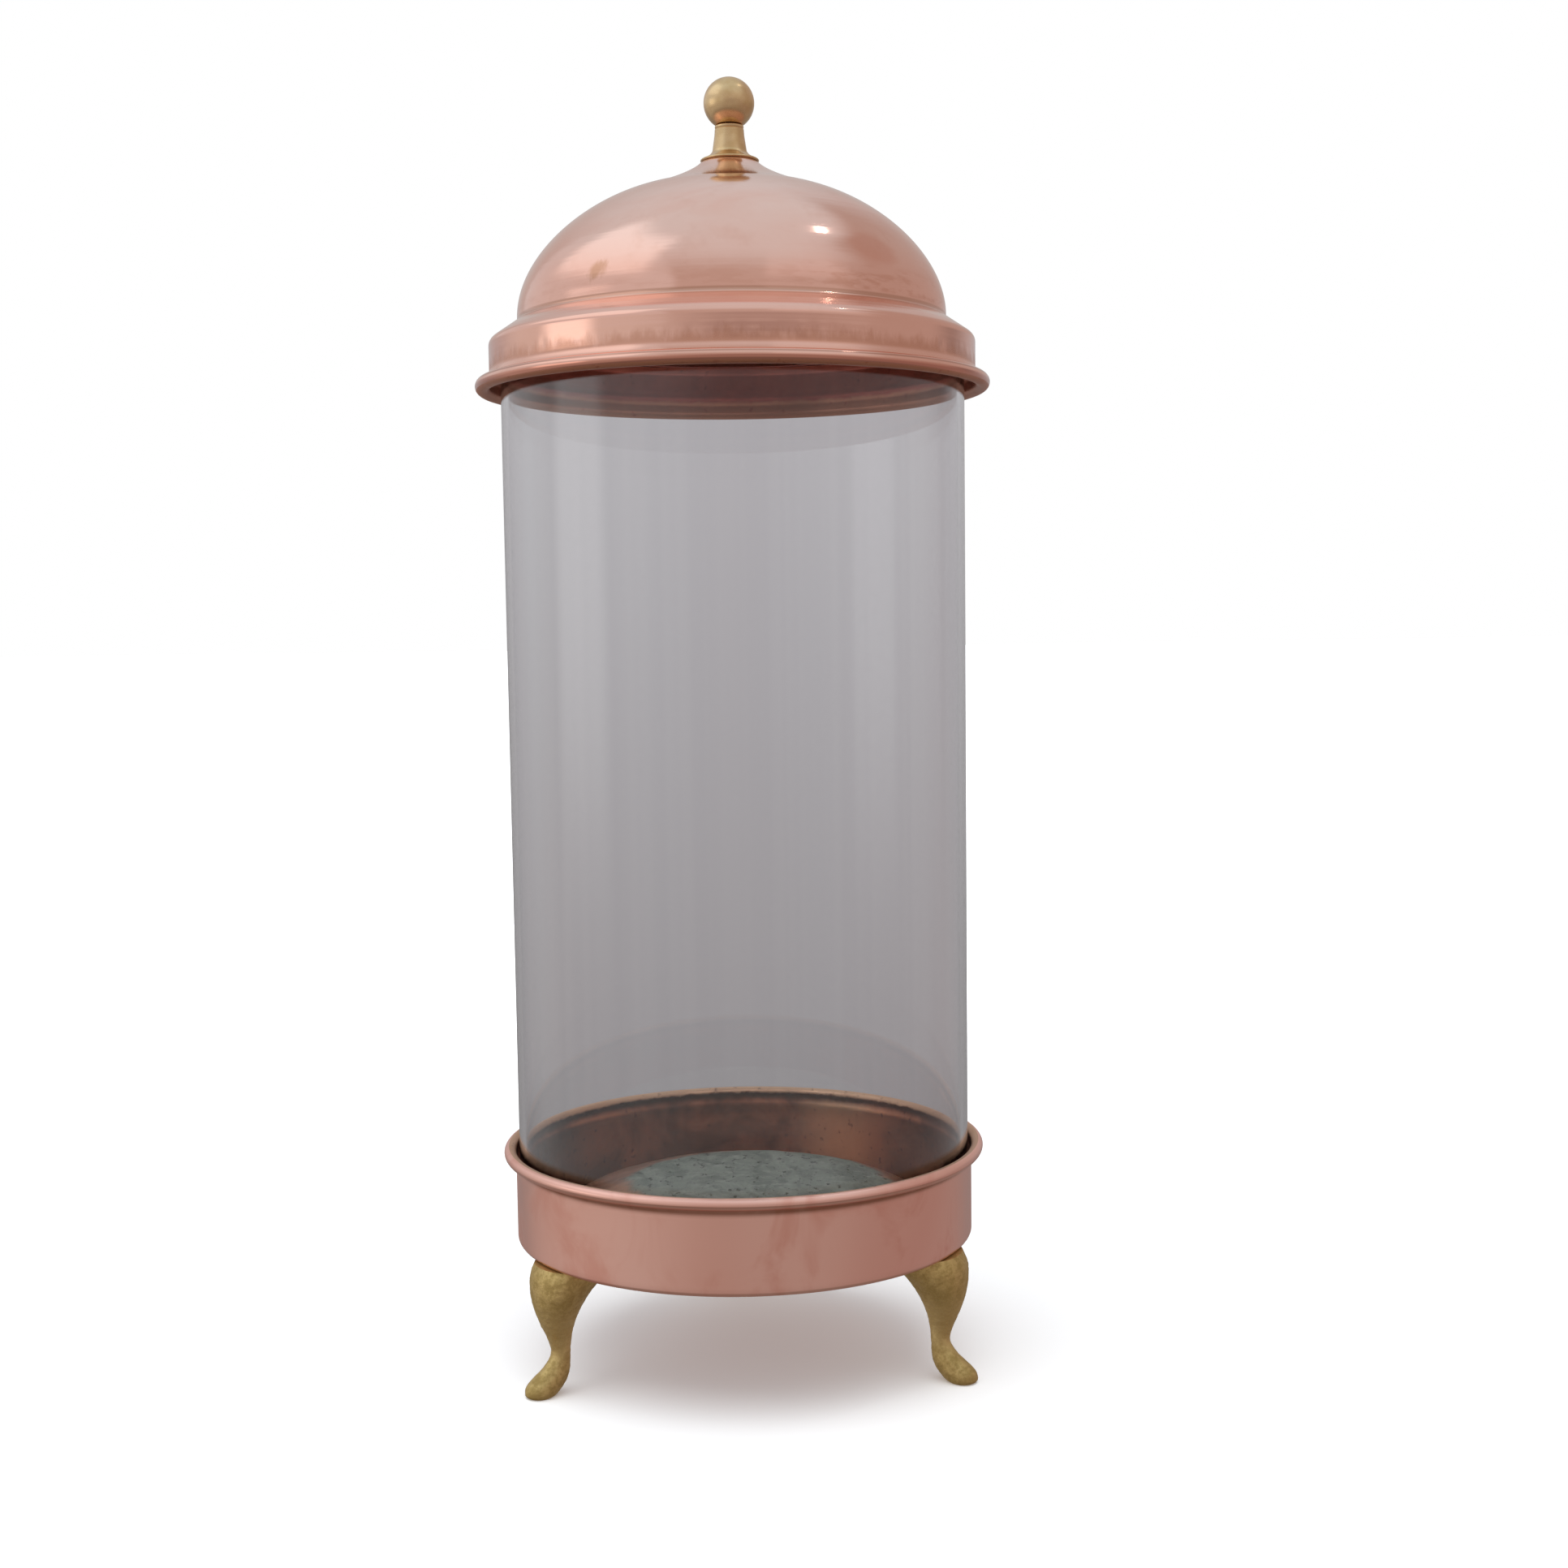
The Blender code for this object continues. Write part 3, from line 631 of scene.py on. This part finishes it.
def cast_brass():
    """Legs: sand-cast, with the sand's grain, dark in the hollows, and painted light round the calf that
    lifts the shade on its middle.
    """
    f = Finish("cast_brass", Metallic=1.0, IOR=1.5)
    pits = f.noise(620.0, 4.0, 0.7)
    lumps = f.noise(230.0, 4.0, 0.6)
    clouds = f.noise(55.0, 3.0, 0.55)
    worn = f.plus(f.times(lumps, 0.6), f.times(pits, 0.4))
    colour = f.mix(f.rising(worn, 0.40, 0.60), (0.52, 0.365, 0.138), (0.67, 0.48, 0.198))
    colour = f.mix(f.rising(clouds, 0.42, 0.68, 0.4), colour, (0.54, 0.385, 0.14))
    # Lighter round the calf: painted light against the leg's shaded middle.
    calf = f.falling(f.off(f.z, CALF_HEIGHT), 5 * MM, 16 * MM, 0.5)
    colour = f.mix(calf, colour, (0.80, 0.60, 0.29))
    f.set(Base_Color=colour, Roughness=f.range(worn, 0.4, 0.62, 0.64, 0.46))
    f.bump((lumps, 0.6 * MM, 0.5), (pits, 0.4 * MM, 0.6))
    return f.mat


def plain_steel():
    """Wire and fasteners: zinc-grey steel with fine scratches."""
    f = Finish("steel", Metallic=1.0, IOR=1.5)
    scratches = f.noise(900.0, 3.0, 0.6, stretch=(1.0, 1.0, 0.2))
    clouds = f.noise(120.0, 3.0, 0.5)
    colour = f.mix(f.rising(clouds, 0.35, 0.7), (0.52, 0.52, 0.53), (0.38, 0.37, 0.36))
    f.set(Base_Color=colour, Roughness=f.range(scratches, 0.3, 0.7, 0.26, 0.42))
    f.bump((scratches, 0.04 * MM, 0.4))
    return f.mat


def clear_glass():
    """The drawn cylinder: clear, faintly grey, with the slow streaks of drawn glass."""
    f = Finish("clear_glass", Metallic=0.0, IOR=1.5, Transmission_Weight=1.0, Roughness=0.0)
    streaks = f.lines(f.turn(), 7.0)
    f.set(Base_Color=f.mix(f.rising(streaks, 0.25, 0.75), (0.96, 0.957, 0.972), (0.935, 0.933, 0.95)))
    return f.mat


# ---------------------------------------------------------------- lid

def ring_dents(seed, count, depth, middle, height, width_share):
    """Dents struck in a ring round the piece: their place, size and depth vary from blow to blow."""
    rng = random.Random(seed)
    blows = []
    for k in range(count):
        blows.append((2 * math.pi * (k + rng.uniform(-0.3, 0.3)) / count, depth * rng.uniform(0.3, 1.0),
                      middle + height * rng.uniform(-0.25, 0.25), height * rng.uniform(0.7, 1.1)))
    pitch = 2 * math.pi / count

    def dents(s, a):
        total = 0.0
        first = int(a / pitch)
        for k in (first - 1, first, first + 1, first + 2):
            turn, deep, place, tall = blows[k % count]
            across = (a - turn + math.pi) % (2 * math.pi) - math.pi
            total -= deep * math.exp(-(across / (pitch * width_share)) ** 2 - ((s - place) / tall) ** 2)
        return total

    return dents


def wire_middle(node, wire_radius):
    """The radius and height of the middle of a rolled edge's wire."""
    low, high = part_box(node)
    return high.x - wire_radius, (low.z + high.z) / 2


def hoop(finishes, name, body, node, wire_radius):
    """The round wire inside a rolled edge."""
    profile = arc(wire_middle(node, wire_radius), wire_radius, 0, 360, 16)[:-1]
    finished(name, turned(profile, around=192), body, node, [finishes["steel"]])


def lid_line():
    """The sheet from the hole in the crown, over the dome, ledge and skirt, round the lip's wire."""
    half = SHEET / 2
    hole = (STUD_HIGH.x + GAP, CROWN_HEIGHT - half)
    crown = (CROWN_RADIUS, CROWN_HEIGHT - half)
    turn = (DOME_TURN_RADIUS, DOME_FOOT + DOME_TURN_RISE)
    foot = (DOME_RADIUS - half, DOME_FOOT)

    def along(point, slope, distance):
        """A point further down the dome along its slope, or up it for a negative distance."""
        run = distance / math.hypot(1, slope)
        return (point[0] + run, point[1] - slope * run)

    hollow = bezier(crown, along(crown, CROWN_SLOPE, CROWN_PULL),
                    along(turn, DOME_TURN_SLOPE, -HOLLOW_PULL), turn, 16)
    bulge = bezier(turn, along(turn, DOME_TURN_SLOPE, SHOULDER_PULL),
                   (foot[0], foot[1] + FOOT_PULL), foot, 40)
    wire_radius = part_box("lid_edge_wire")[1].x - LID_WIRE_RADIUS
    flared = wire_radius - LID_WIRE_RADIUS - GAP - half
    skirt = flared - LIP_FLARE
    shoulder = (skirt - SHOULDER_CORNER, LIP_HEIGHT + SKIRT_HEIGHT)
    corner = arc(shoulder, SHOULDER_CORNER, 90 - math.degrees(LEDGE_ANGLE), 0, 6)
    ledge_end = (LEDGE_INNER_RADIUS,
                 corner[0][1] + (corner[0][0] - LEDGE_INNER_RADIUS) * math.tan(LEDGE_ANGLE))
    fillet = bezier(foot, (foot[0], ledge_end[1] + FILLET_RISE),
                    (ledge_end[0] - FILLET_END_RUN, ledge_end[1] + FILLET_END_RISE), ledge_end, 6)
    flare = bezier((skirt, LIP_HEIGHT + LIP_FLARE_TOP),
                   (skirt, LIP_HEIGHT + LIP_FLARE_TOP - LIP_FLARE_BEND),
                   (flared, LIP_HEIGHT + LIP_FLARE_FOOT + LIP_FLARE_BEND),
                   (flared, LIP_HEIGHT + LIP_FLARE_FOOT), 10)
    curl = arc((wire_radius, LIP_HEIGHT), LID_WIRE_RADIUS + GAP + half, 180, 475, CURL_STEPS)
    return ([hole] + straight(hole, hollow[0], 4) + hollow[1:] + bulge[1:] + fillet[1:]
            + straight(ledge_end, corner[0], 5) + corner[1:]
            + straight(corner[-1], flare[0], 14) + flare[1:] + curl)


def distance_to(line, height):
    """How far along the line it first comes down to a height."""
    s = 0.0
    for a, b in zip(line, line[1:]):
        if b[1] <= height:
            return s
        s += (Vector(b) - Vector(a)).length
    return s


def make_lid(finishes):
    """The spun sheet with its spinning waves and the blows low on its skirt, and its wire."""
    line = lid_line()
    dome_end = distance_to(line, DOME_FOOT)
    blow_line = distance_to(line, LIP_HEIGHT + LIP_FLARE_TOP + 2.5 * MM)
    blows = ring_dents(seed=11, count=96, depth=0.20 * MM,
                       middle=blow_line, height=2.6 * MM, width_share=0.28)

    def dents(s, a):
        """Slow waves that fade out at the dome's foot, and the blows."""
        place = Vector((1.6 * math.cos(a), 1.6 * math.sin(a), s * 22))
        on_dome = min(1.0, max(0.0, (dome_end - s) / LID_WAVE_FADE))
        return noise.noise(place) * LID_WAVE * on_dome + blows(s, a)

    bm = turned_sheet(line, around=384, dents=dents, dull_points=len(line) - CURL_STEPS + LID_CURL_DULL)
    finished("lid_spun_shell", bm, "lid", "lid_shell",
             [finishes["polished"], finishes["lid_inside"]])
    hoop(finishes, "lid_hoop", "lid", "lid_edge_wire", LID_WIRE_RADIUS)


# ---------------------------------------------------------------- finial

def make_neck(finishes):
    """The waisted neck: a flange with a rounded edge, a flare, a tapered shaft and a grooved collar."""
    bore = STUD_HIGH.x + GAP
    foot, top = NECK_LOW.z, NECK_HIGH.z
    flange = NECK_HIGH.x
    flange_top = foot + FLANGE_HEIGHT
    edge = arc((flange - FLANGE_EDGE_RADIUS, foot + FLANGE_EDGE_HEIGHT), FLANGE_EDGE_RADIUS, -60, 90, 6)
    pulls = [(NECK_FOOT_RADIUS + out, flange_top + up) for out, up in NECK_FLARE_PULLS]
    flare = bezier((flange - FLANGE_TOP_INSET, flange_top), *pulls,
                   (NECK_FOOT_RADIUS, flange_top + NECK_FLARE_HEIGHT), 14)
    shaft = straight(flare[-1], (NECK_TOP_RADIUS + NECK_SHAFT_WIDER, top - NECK_SHAFT_DROP), 5)
    collar = [(NECK_TOP_RADIUS + out * MM, top - down * MM) for out, down in NECK_COLLAR]
    profile = ([(bore, foot), (flange - FLANGE_FOOT_INSET, foot)] + edge + flare + shaft + collar
               + [(bore, top)])
    finished("finial_turned_neck", turned(profile, around=96), "lid", "finial_neck",
             [finishes["turned_brass"]])


def make_ball(finishes):
    """The ball, cut flat where it sits on the neck, with the blind hole for the stud."""
    bore = STUD_HIGH.x + GAP
    radius = BALL_HIGH.x
    middle = BALL_HIGH.z - radius
    seat = math.sqrt(radius ** 2 - (middle - BALL_LOW.z) ** 2)
    start = -math.degrees(math.acos(seat / radius))
    surface = arc((0, middle), radius, start, 90, 40)[1:-1]
    profile = ([(bore, BALL_LOW.z), (seat - BALL_SEAT_INSET, BALL_LOW.z)] + surface
               + [(0, middle + radius), (0, STUD_HIGH.z + GAP), (bore, STUD_HIGH.z + GAP)])
    finished("finial_turned_ball", turned(profile, around=96), "lid", "finial_ball",
             [finishes["turned_brass"]])


# ---------------------------------------------------------------- glass

def make_glass(finishes):
    """A drawn tube with ground ends, its roundness out by a few hundredths of a millimetre."""
    outer = GLASS_HIGH.x
    inner = outer - GLASS_WALL
    low, high = GLASS_LOW.z, GLASS_HIGH.z
    g = GROUND_EDGE
    around = 256
    profile = ([(outer - g, low), (outer, low + g)] + straight((outer, low + g), (outer, high - g), 40)
               + [(outer - g, high), (inner + g, high), (inner, high - g)]
               + straight((inner, high - g), (inner, low + g), 40) + [(inner + g, low)])
    bm = bmesh.new()
    rings = []
    for r, z in profile:
        apart = 0 if r > outer - GLASS_WALL / 2 else 40     # the inner side has waves of its own

        def moved(a, apart=apart, z=z):
            place = Vector((1.8 * math.cos(a), 1.8 * math.sin(a), z * 3 + apart))
            return (noise.noise(place) - 0.5) * GLASS_WAVE, 0

        rings.append(ring_of(bm, r, z, around, moved))
    turn_rings(bm, rings, around, closed=True)
    bmesh.ops.recalc_face_normals(bm, faces=bm.faces)
    finished("glass_tube", bm, "glass", "glass_cylinder", [finishes["glass"]])


# ---------------------------------------------------------------- tray group

def tray_line():
    """The sheet from the middle of the floor, round the corner, up the wall and out round the rim's wire."""
    wire_radius, wire_height = wire_middle("tray_edge_wire", TRAY_WIRE_RADIUS)
    curl_radius = TRAY_WIRE_RADIUS + GAP + SHEET / 2
    flared = wire_radius - curl_radius
    wall = flared - TRAY_FLARE
    low = TRAY_LOW.z
    floor = low + SHEET / 2
    corner = arc((wall - TRAY_CORNER, floor + TRAY_CORNER), TRAY_CORNER, -90, 0, 6)
    flare = bezier((wall, low + TRAY_WALL_HEIGHT),
                   (wall + TRAY_FLARE / 2, low + TRAY_WALL_HEIGHT + TRAY_FLARE_START_PULL),
                   (flared, low + TRAY_FLARE_TOP - TRAY_FLARE_END_PULL), (flared, low + TRAY_FLARE_TOP), 8)
    curl = arc((wire_radius, wire_height), curl_radius, 180, -115, CURL_STEPS)
    return ([(0, floor)] + straight((0, floor), corner[0], 12) + corner[1:]
            + straight(corner[-1], flare[0], 16) + flare[1:] + straight(flare[-1], curl[0], 3)[:-1] + curl)


def make_tray(finishes):
    """The spun sheet with its slow waves, and its wire."""
    line = tray_line()

    def dents(s, a):
        place = Vector((2.2 * math.cos(a), 2.2 * math.sin(a), s * 30))
        return noise.noise(place) * TRAY_WAVE

    dull_points = len(line) - CURL_STEPS + TRAY_CURL_DULL
    bm = turned_sheet(line, around=320, dents=dents, dull_points=dull_points, outside_left=False)
    finished("tray_spun_shell", bm, "base", "tray_shell",
             [finishes["satin"], finishes["tray_inside"]])
    hoop(finishes, "tray_hoop", "base", "tray_edge_wire", TRAY_WIRE_RADIUS)


def make_floor_plate(finishes):
    """A cap pressed from sheet, rippled all over by the tool, its edge turned down to the tray's floor."""
    edge = PLATE_HIGH.x
    foot = PLATE_LOW.z
    rise = PLATE_HIGH.z - foot - SHEET
    around, steps, fade_steps = 224, 72, 10

    def ripple(x, y):
        p = Vector((x, y, 0.0))
        return (noise.noise(p * 150) * 0.45 + noise.noise(p * 60) * 0.55) * PLATE_RIPPLE - PLATE_SINK

    bm = bmesh.new()
    sides = []
    for side in (0, 1):
        rings = []
        for i in range(steps + 1):
            share = i / steps
            r = (edge - side * SHEET) * share
            z = foot + (1 - side) * SHEET + rise * (1 - share ** PLATE_POWER)
            fade = min(1.0, (steps - i) / fade_steps)

            def moved(a, r=r, fade=fade):
                return 0, fade * ripple(r * math.cos(a), r * math.sin(a))

            rings.append(ring_of(bm, r, z if i else z + ripple(0, 0), around, moved))
        sides.append(rings)
    outside, inside = sides
    turn_rings(bm, outside + [ring_of(bm, edge, foot, around)] + inside[::-1], around, closed=False)
    bmesh.ops.recalc_face_normals(bm, faces=bm.faces)
    finished("pressed_floor", bm, "base", "floor_plate", [finishes["patina"]])


# ---------------------------------------------------------------- legs

# In millimetres: height above the floor, inner and outer reach from the jar's axis and half width, and
# how much wider the outer side is than the inner, from the sole past toe, ankle, calf and knee to the top.
LEG_SECTIONS = (
    (0.0, 98.6, 109.4, 4.7, 0.10),
    (0.9, 96.6, 111.0, 5.8, 0.14),
    (3.2, 94.2, 111.1, 6.3, 0.16),
    (5.5, 92.3, 109.9, 6.2, 0.12),
    (8.5, 91.0, 106.3, 5.7, 0.05),
    (12.0, 90.4, 102.0, 5.0, 0.0),
    (17.5, 90.2, 98.6, 4.4, 0.0),
    (24.0, 89.5, 100.2, 5.3, 0.05),
    (31.0, 87.7, 103.2, 8.0, 0.15),
    (38.0, 84.0, 105.3, 11.0, 0.25),
    (44.0, 79.0, 106.0, 13.4, 0.32),
    (49.5, 72.5, 105.8, 14.9, 0.34),
    (52.5, 69.8, 105.0, 15.3, 0.34),
    (55.7, 68.6, 103.2, 15.3, 0.34),
)


def leg_section(height):
    """The leg's section at a height, on a smooth curve through the sections above."""
    last = len(LEG_SECTIONS) - 1
    i = max(k for k in range(last) if LEG_SECTIONS[k][0] <= height)
    before, a, b, after = (LEG_SECTIONS[max(0, min(last, k))] for k in (i - 1, i, i + 1, i + 2))
    t = (height - a[0]) / (b[0] - a[0])

    def through(k):
        slope_a = (b[k] - before[k]) / max(b[0] - before[0], 1e-6) * (b[0] - a[0])
        slope_b = (after[k] - a[k]) / max(after[0] - a[0], 1e-6) * (b[0] - a[0])
        h = (2 * t ** 3 - 3 * t ** 2 + 1, t ** 3 - 2 * t ** 2 + t, -2 * t ** 3 + 3 * t ** 2, t ** 3 - t ** 2)
        return h[0] * a[k] + h[1] * slope_a + h[2] * b[k] + h[3] * slope_b

    return [through(k) for k in range(1, 5)]


def make_leg(finishes, name, degrees, seed):
    """One casting: lofted through its sections, with the roughness of its sand mould."""
    bm = bmesh.new()
    around, steps, fade_steps = 56, 92, 3
    lumps, grain, sink = 0.16, 0.10, 0.12     # millimetres; the sink keeps most lumps inside the sections
    top = LEG_SECTIONS[-1][0]
    rings = []
    for i in range(steps + 1):
        height = top * i / steps
        inner, outer, half_width, flare = leg_section(height)
        middle, reach = (inner + outer) / 2, (outer - inner) / 2
        fade = min(1.0, i / fade_steps, (steps - i) / fade_steps)
        ring = []
        for k in range(around):
            a = 2 * math.pi * k / around
            x = middle + reach * math.cos(a)
            y = half_width * math.sin(a) * (1 + flare * math.cos(a))
            out = Vector((math.cos(a), math.sin(a), 0))
            p = Vector((x, y, height + seed * 37))
            rough = noise.noise(p * 0.55) * lumps + noise.noise(p * 1.6) * grain
            point = Vector((x, y, height)) + out * (rough - sink) * fade
            ring.append(bm.verts.new(point * MM))
        rings.append(ring)
    turn_rings(bm, rings, around, closed=False)
    bm.faces.new(rings[0][::-1])
    bm.faces.new(rings[-1])
    bmesh.ops.recalc_face_normals(bm, faces=bm.faces)
    bm.transform(Matrix.Rotation(math.radians(degrees), 4, "Z"))
    finished(name + "_casting", bm, "base", name, [finishes["cast_brass"]], sharp_degrees=50)


# ---------------------------------------------------------------- stage

def make_floor():
    """A plain pale floor; polished and clear surfaces see only the room of the world in its place."""
    bm = bmesh.new()
    bmesh.ops.create_grid(bm, x_segments=8, y_segments=8, size=40.0)
    mesh = bpy.data.meshes.new("studio_floor")
    bm.to_mesh(mesh)
    bm.free()
    floor = bpy.data.objects.new("studio_floor", mesh)
    bpy.context.scene.collection.objects.link(floor)
    floor.visible_glossy = False
    floor.visible_transmission = False
    f = Finish("studio_floor", Base_Color=(0.92, 0.92, 0.92, 1), Roughness=0.9,
               Emission_Color=(1, 1, 1, 1))
    f.set(Emission_Strength=f.range(f.radius(), 0.2, 1.0, 0.16, 1.0))     # white from a metre away
    mesh.materials.append(f.mat)


class Room(Nodes):
    """The room that the copper and glass reflect, by direction from the jar.

    x, y and z are the direction's own parts, from -1 to 1. turn is how far round it is from behind the
    camera, positive to its right, and rise is how far above level, both in radians. Each pair of numbers
    in its colours is where one colour starts to give way to the next, and where it has.
    """

    def __init__(self, tree):
        super().__init__(tree)
        direction = self.node("ShaderNodeTexCoord").outputs["Generated"]
        parts = self.node("ShaderNodeSeparateXYZ", Vector=direction).outputs
        self.x, self.y, self.z = parts["X"], parts["Y"], parts["Z"]
        self.turn = self.math("ARCTAN2", self.x, self.times(self.y, -1.0))
        self.rise = self.math("ARCSINE", self.z)

    def past(self, start, end):
        """0 to 1 between two turns, in degrees."""
        return self.rising(self.turn, math.radians(start), math.radians(end))

    def before(self, start, end):
        """1 to 0 between two turns, in degrees."""
        return self.falling(self.turn, math.radians(start), math.radians(end))

    def right_end(self):
        """Ends what is on the right before the back, where the turn jumps from 180 to -180 degrees."""
        return self.before(150, 178)

    def walls(self):
        """The walls below the panes: left, near, right, and the far one behind the object."""
        near = self.mix(self.rising(self.x, -0.85, 0.0), WALL_LEFT, WALL_NEAR)
        near = self.mix(self.rising(self.x, 0.2, 0.9), near, WALL_RIGHT)
        near = self.mix(self.times(self.past(100, 125), self.right_end()), near, CORNER_RIGHT)
        low = self.mix(self.rising(self.x, -0.8, -0.3), LOW_LEFT, LOW_NEAR)
        low = self.mix(self.rising(self.x, 0.5, 0.95), low, LOW_RIGHT)
        near = self.mix(self.falling(self.z, -0.2, 0.08), near, low)
        up_far = self.node("ShaderNodeMapRange", Value=self.z, From_Min=-0.3, From_Max=0.2).outputs["Result"]
        far = self.mix(up_far, WALL_FAR_LOW, WALL_FAR_HIGH)
        return self.mix(self.rising(self.y, 0.45, 0.85), near, far)

    def panes(self):
        """The pale panes above the walls, which end on the right."""
        panes = self.mix(self.rising(self.x, -0.54, -0.49), PANE_LEFT, PANE_NEAR)
        right = self.times(self.rising(self.x, 0.22, 0.27), self.rising(self.z, 0.2, 0.55))
        panes = self.mix(right, panes, PANE_RIGHT)
        return self.mix(self.times(self.past(55, 75), self.right_end()), panes, WALL_RIGHT)

    def colour(self):
        """Walls and panes between the ceiling, which a dark corner cuts into, and the ground."""
        sides = self.mix(self.rising(self.z, 0.13, 0.20), self.walls(), self.panes())
        corner_end = self.times(self.before(140, 165), self.falling(self.z, 0.77, 0.86))
        dark = self.times(self.past(70, 90), corner_end)
        ceiling = self.times(self.rising(self.z, 0.40, 0.92), self.math("SUBTRACT", 1.0, dark))
        return self.mix(self.falling(self.z, -0.65, -0.33), self.mix(ceiling, sides, CEILING), GROUND)

    def window(self, middle, half_width, foot, head, soft, strength):
        """A soft-edged light in the walls, its place and size in degrees of turn and of height."""
        away = self.off(self.turn, math.radians(middle))
        across = self.falling(away, math.radians(half_width), math.radians(half_width + soft))
        above_foot = self.rising(self.rise, math.radians(foot - soft), math.radians(foot))
        below_head = self.falling(self.rise, math.radians(head), math.radians(head + soft))
        return self.times(self.times(across, above_foot), self.times(below_head, strength))


def make_world():
    """A white ground behind the object, and in its reflections a soft grey room with two windows."""
    world = bpy.data.worlds.new("studio")
    bpy.context.scene.world = world
    world.use_nodes = True
    room = Room(world.node_tree)
    low_window = room.window(middle=-84, half_width=9, foot=0, head=8, soft=10, strength=0.85)
    high_window = room.window(middle=-88, half_width=30, foot=34, head=58, soft=12, strength=0.45)
    reflected = world.node_tree.nodes["Background"]
    room.give(reflected.inputs["Color"], room.colour())
    room.give(reflected.inputs["Strength"], room.plus(room.plus(low_window, high_window), 1.0))
    seen = room.node("ShaderNodeBackground", Color=(1, 1, 1, 1), Strength=1.0)
    ray = room.node("ShaderNodeLightPath")
    mix = room.node("ShaderNodeMixShader", Fac=ray.outputs["Is Camera Ray"])
    room.give(mix.inputs[1], reflected.outputs[0])
    room.give(mix.inputs[2], seen.outputs[0])
    room.give(world.node_tree.nodes["World Output"].inputs["Surface"], mix.outputs[0])


def panel(name, azimuth, elevation, size, watts):
    """A square light that faces the jar; azimuth 0 is behind the camera, positive to its right."""
    light = bpy.data.lights.new(name, "AREA")
    light.shape = "RECTANGLE"
    light.size = size
    light.size_y = size
    light.energy = watts
    obj = bpy.data.objects.new(name, light)
    bpy.context.scene.collection.objects.link(obj)
    a, e = math.radians(azimuth), math.radians(elevation)
    back = Vector((math.sin(a) * math.cos(e), -math.cos(a) * math.cos(e), math.sin(e)))
    obj.location = Vector((0, 0, cad_box[1].z / 2)) + back * LIGHT_AWAY
    obj.rotation_mode = "QUATERNION"
    obj.rotation_quaternion = back.to_track_quat("Z", "Y")
    return obj


def make_lights():
    """A broad soft light overhead, which no gloss shows, and a small one for the dome's spark."""
    overhead = panel("overhead", azimuth=-20, elevation=75, size=2.4, watts=38)
    overhead.visible_glossy = False
    panel("spark", azimuth=92, elevation=64, size=0.04, watts=0.3)


def make_camera():
    """The photograph's place: a little above the middle of the jar, under a metre away."""
    camera = bpy.data.objects.new("camera", bpy.data.cameras.new("camera"))
    bpy.context.scene.collection.objects.link(camera)
    camera.data.sensor_width = CAMERA_SENSOR
    camera.data.lens = CAMERA_LENS
    camera.data.shift_y = CAMERA_SHIFT
    camera.data.clip_start = 0.01
    camera.data.clip_end = 100
    pitch, yaw, roll = (math.radians(d) for d in (CAMERA_PITCH, CAMERA_YAW, CAMERA_ROLL))
    ahead = Vector((math.sin(yaw) * math.cos(pitch), math.cos(yaw) * math.cos(pitch), -math.sin(pitch)))
    right = Vector((math.cos(yaw), -math.sin(yaw), 0))
    up = right.cross(ahead)
    right, up = (right * math.cos(roll) + up * math.sin(roll), up * math.cos(roll) - right * math.sin(roll))
    turn = Matrix((right, up, -ahead)).transposed().to_4x4()
    place = Matrix.Translation((0, -CAMERA_AWAY, TRAY_LOW.z + CAMERA_ABOVE))
    camera.matrix_world = Matrix.Rotation(math.radians(CAMERA_ROUND), 4, "Z") @ place @ turn
    bpy.context.scene.camera = camera


# ---------------------------------------------------------------- the jar

def main():
    bpy.context.scene.view_settings.view_transform = "Standard"
    finishes = {
        "polished": polished_copper(),
        "lid_inside": lid_inside_copper(),
        "satin": satin_copper(),
        "tray_inside": tray_inside_copper(),
        "patina": patina(),
        "turned_brass": turned_brass(),
        "cast_brass": cast_brass(),
        "steel": plain_steel(),
        "glass": clear_glass(),
    }
    make_lid(finishes)
    make_neck(finishes)
    make_ball(finishes)
    make_glass(finishes)
    make_tray(finishes)
    make_floor_plate(finishes)
    for seed, (name, degrees) in enumerate(LEG_TURNS.items()):
        make_leg(finishes, name, degrees, seed)
    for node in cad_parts.values():
        if not node.hide_render:
            for slot in node.material_slots:
                slot.material = finishes["steel"]
    make_floor()
    make_world()
    make_lights()
    make_camera()


main()
